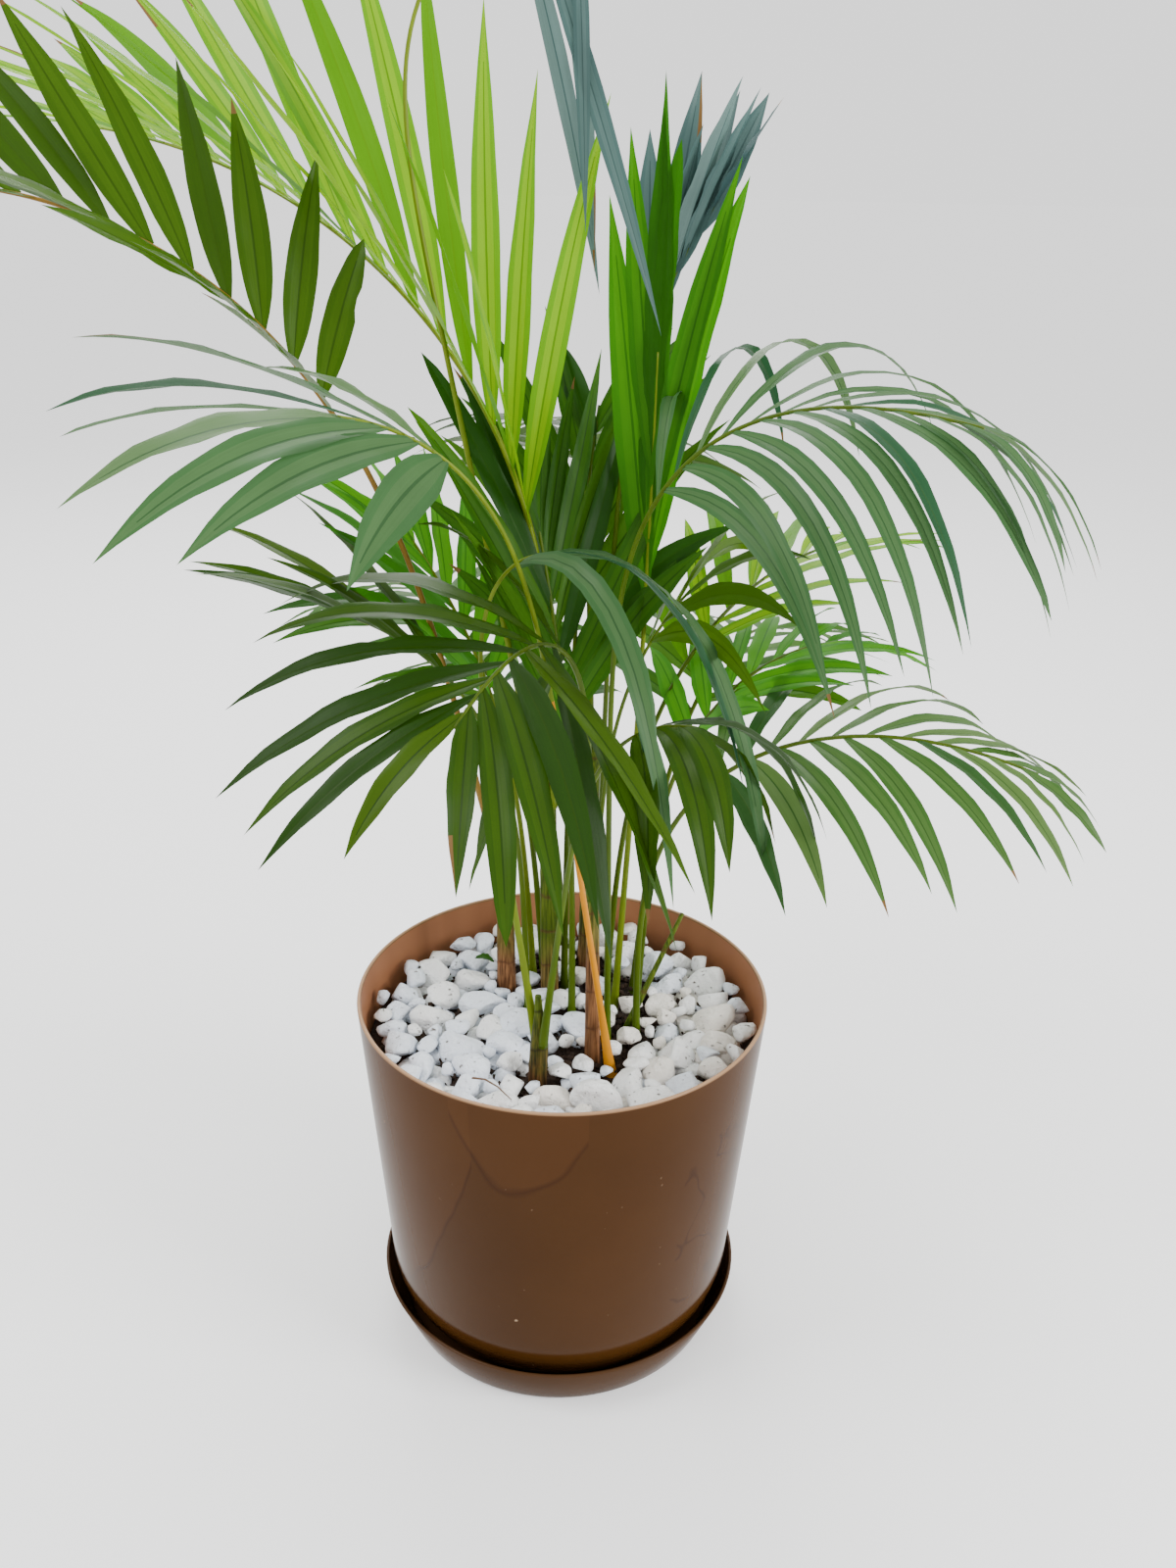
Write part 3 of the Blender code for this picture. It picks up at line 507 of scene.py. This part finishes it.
def sheath_finish(name, dry_top, dark, light):
    made, shader, here = finish_of(name, 0.5, Specular_IOR_Level=0.12)
    parts = here.node("SeparateXYZ", Vector=here)
    height = Wire(here.tree, parts.socket.node.outputs["Z"])
    patch = here.node("TexNoise", Vector=here, Scale=55.0, Detail=4.0)
    climb = here.node("MapRange", Value=height + patch * FADE, i1=dry_top - 0.004, i2=dry_top + FADE)
    stretched = here.node("Mapping", Vector=here, Scale=(1, 1, 0.05))
    fibre = here.node("TexNoise", Vector=stretched, Scale=700.0, Detail=4.0)
    wandering = height + patch * 0.012
    scar = here.sum_of("POWER", here.sum_of("SINE", wandering * (math.tau / SCAR_SPACING)) * 0.5 + 0.5, 40.0)
    ridge = here.node("MapRange", Value=fibre, i1=0.36, i2=0.64)
    colour = mixed(climb, mixed(ridge, dark, light), mixed(ridge, FRESH_DARK, FRESH_LIGHT))
    link(shader, "Base Color", mixed(scar * SCAR_DEPTH, colour, dark))
    relief(shader, fibre * 2 - scar, 0.5, 0.0007)
    return made


DRY_TOPS = {"cane_left": 0.262, "cane_front": 0.240, "cane_middle": 0.300, "petiole_stub": 0.16}
for cane in CANES:
    foot, top, way = cane_axis(cane)
    cane_across = way.cross(Vector((1, 0, 0))).normalized()
    carried = [frond for frond in FRONDS if frond.foot == cane.name]
    seats = [frond_foot(frond) + frond_way(frond, 0) * SHEATH_GRIP for frond in carried]
    end = sum(seats, Vector()) / len(seats) if seats else top
    grip = SHEATH_GRIP if seats else 0
    held = PETIOLE_RADIUS * 0.8

    def sheath_middle(along):
        rise = along * (cane.length + grip)
        if rise <= cane.length:
            return foot.lerp(top, rise / cane.length)
        return top.lerp(end, (rise - cane.length) / grip)

    def sheath_radius(along, angle):
        rise = along * (cane.length + grip)
        swell = SCAR_SWELL * max(0, math.cos(rise / SCAR_SPACING * math.tau)) ** 12
        grooves = GROOVES * (math.sin(9 * angle + 3 * along) + math.sin(2 * angle - 5 * along))
        flare = FOOT_FLARE * math.exp(-rise / FLARE_REACH)
        body = lerp(cane.foot_radius, cane.top_radius, min(1, rise / cane.length))
        body *= 0.97 + swell + grooves + flare
        past = max(0, rise - cane.length) / grip if grip else 0
        return lerp(body, held, past ** 0.8)

    cane_bm = bmesh.new()
    tube(cane_bm, SHEATH_ROWS, SHEATH_SIDES, sheath_middle, sheath_radius,
         lambda along: (cane_across, way.cross(cane_across)))
    shades = (OLD_DARK, OLD_LIGHT) if cane.name == "cane_front" else (DRY_DARK, DRY_LIGHT)
    sheath = sheath_finish(cane.name + "_skin", DRY_TOPS.get(cane.name, 0.235), *shades)
    piece_from(cane.name + "_sheath", cane_bm, [sheath], "canes", cane.name)

# The pebbles are tumbled white marble with fine dark pits. A colder tint on those on the left is painted cool
# shade, and a warmer tint on those on the right is painted warm light. They lie two deep over the peat,
# heaped a little against the wall. The upper ones are those of the solid, with smaller ones in their gaps,
# which also come closer to the stems.
PEBBLE_SEED, SHAPE_SEED, UNDER_SEED = 11, 13, 12
PEBBLE_SIZES = ((12, 0.0165, 0.0140), (26, 0.0140, 0.0110), (24, 0.0110, 0.0090))
FILLER_SIZES = ((60, 0.0100, 0.0075), (90, 0.0075, 0.0052))
UNDER_SIZES = ((150, 0.0125, 0.0085),)
PEBBLE_TRIES, PEBBLE_ROOM, FILLER_ROOM, UNDER_ROOM = 30, 0.80, 0.77, 0.72
PEBBLE_RISE, STEM_ROOM, BED_DEPTH, UNDER_SINK = 0.25, 0.0035, 0.030, 0.0080
FILLER_SINK, WALL_HEAP, FILLER_BARE = -0.0030, 0.0055, 0.45
WALL_RADIUS = 0.1258
PEAT_PATCHES = ((-0.034, 0.056, 0.010), (0.006, -0.038, 0.012), (0.041, 0.042, 0.009), (0.064, 0.094, 0.010))
FACETS, FLATTEN, FINE_HALF, LARGE_LUMPS, FINE_LUMPS = 9, 0.9, 0.0068, 0.18, 0.06
SIDE_BLUR = 0.03
# The cold and warm tints are painted cool shade and painted warm light. The white one is the marble's own.
MARBLE_TINTS = {
    "marble_cool_painted_shade": (0.83, 0.88, 0.96), "marble_white": (0.94, 0.94, 0.93), "marble_warm_painted_light": (0.88, 0.83, 0.76)}
PIT_SHADE = (0.16, 0.14, 0.12)
marbles = []
for name, tint in MARBLE_TINTS.items():
    marble, marble_shader, here = finish_of(name, 0.5)
    vein = here.node("TexNoise", Vector=here, Scale=70.0, Detail=8.0)
    chalk = here.node("TexNoise", Vector=here, Scale=380.0, Detail=4.0)
    fleck = here.node("TexNoise", Vector=here, Scale=300.0, Detail=1.0)
    pits = here.sum_of("MAXIMUM", fleck - 0.68, 0.0) * 9
    stone = mixed(vein, tuple(part * 0.84 for part in tint), tint)
    link(marble_shader, "Base Color", mixed(pits, stone, PIT_SHADE))
    relief(marble_shader, vein * 4 + chalk - pits, 0.8, 0.0018)
    marbles.append(marble)
stems = [(cane.foot, cane.heading, cane.lean, cane.foot_radius) for cane in CANES]
stems += [(frond.foot, frond.heading, frond.lean_foot, PETIOLE_RADIUS)
          for frond in FRONDS if not isinstance(frond.foot, str)]
bare_spots = [(Vector((x, y)), radius) for x, y, radius in PEAT_PATCHES]
for foot, heading, lean, radius in stems:
    aside = math.tan(math.radians(lean)) * BED_DEPTH / 2
    bare_spots.append((Vector(foot) + heading_vector(heading).xy * aside, radius + abs(aside) + STEM_ROOM))


def throw_pebbles(dice, sizes, room, bed_radius, placed, bare=1.0):
    """Places by a seeded rule, large ones first: the spot, half length, half width, half height and turn."""
    for count, largest, smallest in sizes:
        laid = 0
        for _ in range(count * PEBBLE_TRIES):
            half = dice.uniform(smallest, largest)
            reach = (bed_radius - half - 0.001) * math.sqrt(dice.random())
            angle = dice.uniform(0, math.tau)
            place = Vector((reach * math.cos(angle), reach * math.sin(angle)))
            turn, slim, flat = dice.uniform(0, math.pi), dice.uniform(0.7, 0.95), dice.uniform(0.55, 0.75)
            if any((place - spot).length < half + radius * bare for spot, radius in bare_spots):
                continue
            if any((place - other[0]).length < (half + other[1]) * room for other in placed):
                continue
            placed.append((place, half, half * slim, half * flat, turn))
            laid += 1
            if laid >= count:
                break
    return placed


def lay_stones(bm, dice, places, sink):
    """Gives each pebble its own lumps, flat sides and rounded edges."""
    for place, half, width, height, turn in places:
        heap = WALL_HEAP * (place.length / BED_RADIUS) ** 5
        shape = (Matrix.Translation((*place, BED_TOP + height * PEBBLE_RISE - sink + heap))
                 @ Matrix.Rotation(turn, 4, "Z") @ Matrix.Rotation(dice.uniform(-0.3, 0.3), 4, "X")
                 @ Matrix.Diagonal((half, width, height, 1)))
        seed = Vector((dice.random(), dice.random(), dice.random())) * 50
        cuts = [(Vector([dice.gauss(0, 1) for _ in range(3)]).normalized(), dice.uniform(0.56, 0.86))
                for _ in range(FACETS)]
        fineness = 3 if half > FINE_HALF else 2
        stone = bmesh.ops.create_icosphere(bm, subdivisions=fineness, radius=1)["verts"]
        for vert in stone:
            lumps = LARGE_LUMPS * noise.noise(vert.co * 1.1 + seed)
            lumps += FINE_LUMPS * noise.noise(vert.co * 2.6 + seed)
            spot = vert.co * (1.14 + lumps)
            for normal, distance in cuts:
                past = spot.dot(normal) - distance
                if past > 0:
                    spot = spot - normal * (past * FLATTEN)
            vert.co = shape @ spot
        # Stones on the left more often get the painted cool shade. Those on the right are mostly white, some
        # with the painted warm light.
        kind = dice.choice((0, 0, 1) if place.x + dice.gauss(0, SIDE_BLUR) < 0 else (0, 1, 1, 2))
        for face in {face for vert in stone for face in vert.link_faces}:
            face.material_index = kind


dice, shape_dice = random.Random(PEBBLE_SEED), random.Random(SHAPE_SEED)
upper = throw_pebbles(dice, PEBBLE_SIZES, PEBBLE_ROOM, BED_RADIUS, [])
main_count = len(upper)
upper = throw_pebbles(dice, FILLER_SIZES, FILLER_ROOM, WALL_RADIUS, upper, FILLER_BARE)
lower = throw_pebbles(random.Random(UNDER_SEED), UNDER_SIZES, UNDER_ROOM, BED_RADIUS, [])
pebbles_bm = bmesh.new()
lay_stones(pebbles_bm, shape_dice, upper[:main_count], 0)
lay_stones(pebbles_bm, shape_dice, upper[main_count:], FILLER_SINK)
piece_from("marble_pebbles", pebbles_bm, marbles, "pebbles", "pebbles")
under_bm = bmesh.new()
lay_stones(under_bm, shape_dice, lower, UNDER_SINK)
piece_from("lower_pebbles", under_bm, marbles, "pebbles", "pebbles")

# A thin dry twig lies on the pebbles near the front rim.
TWIG_COLOUR, TWIG_RADIUS = (0.10, 0.055, 0.030), 0.0006
TWIG_WAY = ((-0.0513, -0.0780, 0.2255), (-0.0434, -0.0840, 0.2290), (-0.0354, -0.0910, 0.2290),
            (-0.0270, -0.0990, 0.2260))
bark, bark_shader, here = finish_of("twig_bark", 0.8)
streak = here.node("TexNoise", Vector=here, Scale=900.0, Detail=2.0)
link(bark_shader, "Base Color", mixed(streak, TWIG_COLOUR, tuple(part * 1.8 for part in TWIG_COLOUR)))
twig_way = [Vector(place) for place in TWIG_WAY]
twig_side = (twig_way[-1] - twig_way[0]).normalized().cross(Vector((0, 0, 1)))
twig_bm = bmesh.new()
tube(twig_bm, 18, 6, lambda along: rib_point(twig_way, along),
     lambda along, angle: TWIG_RADIUS * (1.3 - 0.8 * along), lambda along: (Vector((0, 0, 1)), twig_side))
piece_from("dry_twig", twig_bm, [bark], "pebbles", "pebbles")

# Each frond's rib is a firm rounded stalk, grooved on top, which swells where it leaves the soil. Most are
# green, the young ones lime, the high left one is tan, and an old petiole in front has turned orange.
RIB_TINTS = {
    "rib_green": ((0.024, 0.056, 0.001), (0.080, 0.125, 0.003)),
    "rib_lime": ((0.070, 0.115, 0.002), (0.160, 0.215, 0.006)),
    "rib_orange": ((0.430, 0.150, 0.001), (0.560, 0.235, 0.002)),
    "rib_tan": ((0.140, 0.070, 0.010), (0.230, 0.140, 0.020)),
}
RIB_KINDS = {"frond_left_pale": "rib_orange", "frond_left_high": "rib_tan", "frond_left_tall": "rib_lime",
             "frond_back_top": "rib_lime", "frond_centre_bright": "rib_lime", "frond_mid_left": "rib_lime",
             "frond_front_arch": "rib_lime"}
ORANGE_SHARE = 0.55
FOOT_SWELL, USUAL_SWELL, SWELL_REACH, GROOVE_DEPTH = {"frond_left_pale": 0.0034}, 0.0011, 0.022, 0.22
RIB_ROWS, RIB_SIDES = 84, 12
rib_finishes = {}
for name, (dark, light) in RIB_TINTS.items():
    made, shader, here = finish_of(name, 0.38, Specular_IOR_Level=0.15)
    stretched = here.node("Mapping", Vector=here, Scale=(1, 1, 0.2))
    streak = here.node("TexNoise", Vector=stretched, Scale=160.0, Detail=4.0)
    link(shader, "Base Color", mixed(streak, dark, light))
    relief(shader, streak, 0.2, 0.0004)
    rib_finishes[name] = made
for frond in FRONDS:
    points = frond_rib(frond)
    swell = FOOT_SWELL.get(frond.name, USUAL_SWELL)

    def rib_radius(along, angle):
        groove = 1 - GROOVE_DEPTH * max(0, math.sin(angle)) ** 6
        foot_swell = swell * math.exp(-along * frond.length / SWELL_REACH)
        return (lerp(PETIOLE_RADIUS, RIB_TIP_RADIUS, along) + foot_swell) * groove

    rib_bm = bmesh.new()
    tube(rib_bm, RIB_ROWS, RIB_SIDES, lambda along: rib_point(points, along), rib_radius,
         lambda along: rib_frame(frond, along)[1:],
         lambda along, side: int(frond.name == "frond_left_pale" and along > ORANGE_SHARE))
    piece_from(frond.name + "_rib", rib_bm, [rib_finishes[RIB_KINDS.get(frond.name, "rib_green")],
                                             rib_finishes["rib_lime"]], "leaves", frond.name)

# The leaflets stand in two rows along the rib: long pointed blades, folded along the middle, pleated by two
# side veins and drooping towards the tip. On most of them a paler band on both sides of the midrib is painted
# light, which copies the light and shade across the pleats and leaves the outer strips darker. Some have a
# dry tip or edge, some are blunt, insects ate a few. Those of four fronds are slimmer than the solids'
# blades.
LEAF_TONES = {
    "leaf_olive": ((0.028, 0.072, 0.001), (0.021, 0.056, 0.001), (0.042, 0.094, 0.002)),
    "leaf_bright": ((0.085, 0.235, 0.000), (0.060, 0.185, 0.000), (0.150, 0.300, 0.000)),
    "leaf_fresh": ((0.026, 0.145, 0.001), (0.018, 0.105, 0.001), (0.046, 0.190, 0.002)),
    # The green and dark tones carry painted shade: they are darkened for the shade inside the crown, where
    # most of their fronds stand.
    "leaf_green": ((0.019, 0.076, 0.002), (0.011, 0.052, 0.002), (0.036, 0.108, 0.003)),
    "leaf_dark": ((0.017, 0.049, 0.001), (0.010, 0.034, 0.001), (0.031, 0.068, 0.002)),
    # The grey tone is partly the leaves' own colour and partly a painted sheen: the pale surround reflected
    # on their upper sides.
    "leaf_grey": ((0.034, 0.092, 0.028), (0.015, 0.062, 0.023), (0.068, 0.130, 0.046)),
    "leaf_sage": ((0.033, 0.087, 0.015), (0.019, 0.062, 0.012), (0.062, 0.120, 0.028)),
    "leaf_blue": ((0.046, 0.090, 0.084), (0.028, 0.062, 0.060), (0.078, 0.130, 0.118)),
}
MIDRIB_SHADE, TIP_BROWN, FLESH_LIGHT, VEIN_LIGHT, VEIN_DARK = 0.72, (0.130, 0.070, 0.022), 1.7, 1.36, 0.66
LEAF_GLOW, USUAL_GLOW = {"leaf_bright": 0.45, "leaf_fresh": 0.38}, 0.26
# The paler band beside the midrib is painted light: a tone part of the way from the plain tone to the
# lightest.
PAINTED_BAND_SHARE, USUAL_PAINTED_BAND = {"leaf_bright": 0.85, "leaf_fresh": 0.6}, 0.4
SAGE_FROND = "frond_right_low"
SLIMMER = {"frond_right_low": 0.78, "frond_back_top": 0.62, "frond_left_high": 0.9, "frond_right_arch": 0.76}
BLADE_ROWS, BLADE_FOLD, BLADE_PLEAT = 14, 0.20, 0.10
BLADE_RIDGES = (-1, -0.55, -0.07, 0.07, 0.55, 1)
BLADE_STEPS = 24
VEIN_WIDTH, VEIN_LENGTH = 0.0009, 0.09
DRY_TIPS, DRY_EDGES, DRY_FROM, BLUNT, BLUNT_REACH = 0.20, 0.04, 0.72, 0.12, 0.84
BITTEN, BITE_DEPTH, BITE_HALF = 0.07, 0.75, 0.03
MOST_BOW, MOST_TWIST, EDGE_WAVE, WAVE_COUNT = 0.14, 0.55, 0.10, 3.5
MIDRIB_HALF, BAND_HALF, MIDRIB_END = 0.1, 0.55, 0.85
MIDRIB, BROWN, PAINTED_LIGHT_BAND = 3, 4, 5


def leaf_finish(name, colour, glow):
    """Leaf tissue: a satin skin with fine veins along the blade, over flesh that lets some light through."""
    made, shader, here = finish_of(name, 0.38, Specular_IOR_Level=0.12)
    along = here.node("UVMap")
    vein = here.node("TexNoise", Vector=along, Scale=1.0, Detail=2.0)
    patch = here.node("TexNoise", Vector=here, Scale=38.0, Detail=3.0)
    light = tuple(part * VEIN_LIGHT for part in colour)
    dark = tuple(part * VEIN_DARK for part in colour)
    link(shader, "Base Color", mixed(vein * 0.6 + patch * 0.4, dark, light))
    relief(shader, vein, 0.25, 0.0003)
    through = here.node("BsdfTranslucent", Color=(*(min(1, part * FLESH_LIGHT) for part in colour), 1))
    both = here.node("MixShader", i0=glow, i1=Wire(here.tree, shader.outputs[0]), i2=through)
    here.tree.links.new(both.socket, here.tree.nodes["Material Output"].inputs["Surface"])
    return made


leaf_finishes = {}
for name, tones in LEAF_TONES.items():
    # The band tone is painted light, lighter than the plain tone.
    painted_band = tuple(lerp(low, high, PAINTED_BAND_SHARE.get(name, USUAL_PAINTED_BAND)) for low, high in zip(tones[0], tones[2]))
    kinds = [*tones, tuple(part * MIDRIB_SHADE for part in tones[0]), TIP_BROWN, painted_band]
    leaf_finishes[name] = [leaf_finish(f"{name}_{i}", tone, LEAF_GLOW.get(name, USUAL_GLOW))
                           for i, tone in enumerate(kinds)]


def lance(share, reach):
    """How wide a leaflet is along its length: narrow at its foot, widest before the middle, then pointed."""
    body = math.sin(math.pi * (share * reach) ** 0.75) ** 0.8
    return max(body, 0.22 * (1 - share)) * math.sqrt(max(0.0, 1 - share ** 10))


dice = random.Random(FROND_SEED)
finer = random.Random(FROND_SEED + 1)
for frond in FRONDS:
    points = frond_rib(frond)
    colour = "leaf_sage" if frond.name == SAGE_FROND else frond.colour
    blade_bm = bmesh.new()
    veins = blade_bm.loops.layers.uv.new("veins")
    for i in range(frond.pairs):
        for side in (1, -1):
            along = (i + LEAFLET_PLACES[side]) / frond.pairs
            share = lerp(frond.petiole, BLADE_END, along)
            way, left, up = rib_frame(frond, share)
            spread = dice.uniform(-SWEEP_SPREAD, SWEEP_SPREAD)
            sweep = math.radians(lerp(frond.sweep_base, frond.sweep_tip, along) + spread)
            lift = (frond.rise_left if side > 0 else frond.rise_right) * (1 - along) ** frond.settle
            rise = math.radians(lift + dice.uniform(-RISE_SPREAD, RISE_SPREAD))
            out = left * (side * math.cos(rise)) + up * math.sin(rise)
            full = math.sin(math.pi * lerp(frond.full_foot, FULL_TIP, along)) ** FULL_POWER
            length = frond.leaflet * full * dice.uniform(1 - LENGTH_SPREAD, 1 + LENGTH_SPREAD)
            width = frond.width * lerp(1, TIP_WIDTH, along) * dice.uniform(1 - WIDTH_SPREAD, 1 + WIDTH_SPREAD)
            direction = way * math.cos(sweep) + out * math.sin(sweep)
            leaf_across = (way - direction * way.dot(direction)).normalized()
            droop = frond.droop * dice.uniform(1 - DROOP_SPREAD, 1 + DROOP_SPREAD)
            slim_width = width * SLIMMER.get(frond.name, 1)
            bow, twist = finer.uniform(-MOST_BOW, MOST_BOW), finer.uniform(-MOST_TWIST, MOST_TWIST)
            line, ways = [rib_point(points, share)], []
            for k in range(BLADE_STEPS):
                reached = (k + 0.5) / BLADE_STEPS
                bend = Vector((0, 0, -droop * reached ** DROOP_POWER)) + leaf_across * (bow * reached)
                ways.append((direction + bend).normalized())
                line.append(line[-1] + ways[-1] * (length / BLADE_STEPS))
            ways.append(ways[-1])
            downward = math.copysign(1, -leaf_across.cross(ways[0]).z)
            reach = BLUNT_REACH if finer.random() < BLUNT else 1
            bite = (finer.uniform(0.35, 0.9), finer.choice((-1, 1)), finer.random() < BITTEN)
            tone = finer.choice((0, 0, 0, 1, 2))
            dry_tip = finer.uniform(0.90, 0.97) if finer.random() < DRY_TIPS else 1
            dry_side = finer.choice((-1, 1)) if finer.random() < DRY_EDGES else 0
            grain = finer.uniform(0, 100)

            def blade(share_out, side_out):
                ridge = round((side_out + 1) / 2 * (len(BLADE_RIDGES) - 1))
                u = BLADE_RIDGES[ridge]
                spot = share_out * BLADE_STEPS
                k = min(int(spot), BLADE_STEPS - 1)
                centre = line[k].lerp(line[k + 1], spot - k)
                heading = ways[k].lerp(ways[k + 1], spot - k).normalized()
                flat_way = (leaf_across - heading * leaf_across.dot(heading)).normalized()
                keel = flat_way.cross(heading) * downward
                side_way = flat_way * math.cos(twist * share_out) + keel * math.sin(twist * share_out)
                keel = side_way.cross(heading) * downward
                outline = lance(share_out, reach)
                if bite[2] and u * bite[1] > 0:
                    outline *= 1 - BITE_DEPTH * math.exp(-((share_out - bite[0]) / BITE_HALF) ** 2)
                half = slim_width / 2 * outline
                pleat = BLADE_PLEAT * half * (0.5 if ridge in (1, 4) else -0.5)
                wave = EDGE_WAVE * half * abs(u) ** 3 * math.sin(math.tau * WAVE_COUNT * share_out + grain)
                return centre + side_way * (half * u) - keel * (abs(u) * half * BLADE_FOLD + pleat + wave)

            def tissue(share_out, side_out):
                if share_out > dry_tip or (dry_side * side_out > BAND_HALF and share_out > DRY_FROM):
                    return BROWN
                if abs(side_out) < MIDRIB_HALF and share_out < MIDRIB_END:
                    return MIDRIB
                # Leaflets of the first tone get the painted light band between the pleat ridges, beside the
                # midrib.
                return PAINTED_LIGHT_BAND if tone == 0 and abs(side_out) < BAND_HALF else tone

            def vein_place(share_out, side_out):
                return side_out * width / 2 / VEIN_WIDTH + grain, share_out * length / VEIN_LENGTH

            skin(blade_bm, BLADE_ROWS, len(BLADE_RIDGES) - 1, blade, tissue, vein_place)
    bmesh.ops.remove_doubles(blade_bm, verts=blade_bm.verts, dist=0.00001)
    piece_from(frond.name + "_leaflets", blade_bm, leaf_finishes[colour], "leaves", frond.name)

# A torn scrap of green leaf lies on the pebbles behind the left cane. It is arched and a little cupped, and
# its edge is ragged.
SCRAP_PLACE, SCRAP_HEADING, SCRAP_LENGTH, SCRAP_WIDTH = Vector((-0.0543, 0.0560, 0.2245)), -20, 0.014, 0.0085
SCRAP_ARCH, SCRAP_CUP, SCRAP_TEARS = 0.0022, 0.0016, 0.25
scrap_way = heading_vector(SCRAP_HEADING)
scrap_side = scrap_way.cross(Vector((0, 0, 1)))
scrap_bm = bmesh.new()
scrap_bm.loops.layers.uv.new("veins")


def scrap(along, side):
    lift = SCRAP_ARCH * math.sin(math.pi * along) + SCRAP_CUP * side * side
    ragged = 1 - SCRAP_TEARS * math.sin(11 * along) ** 2
    return (SCRAP_PLACE + scrap_way * (SCRAP_LENGTH * (along - 0.5)) + Vector((0, 0, lift))
            + scrap_side * (SCRAP_WIDTH / 2 * side * lance(along, 1) * ragged))


skin(scrap_bm, 12, 4, scrap, unfold=lambda along, side: (side * 4, along))
piece_from("leaf_scrap", scrap_bm, [leaf_finishes["leaf_green"][0]], "leaves", "pebbles")
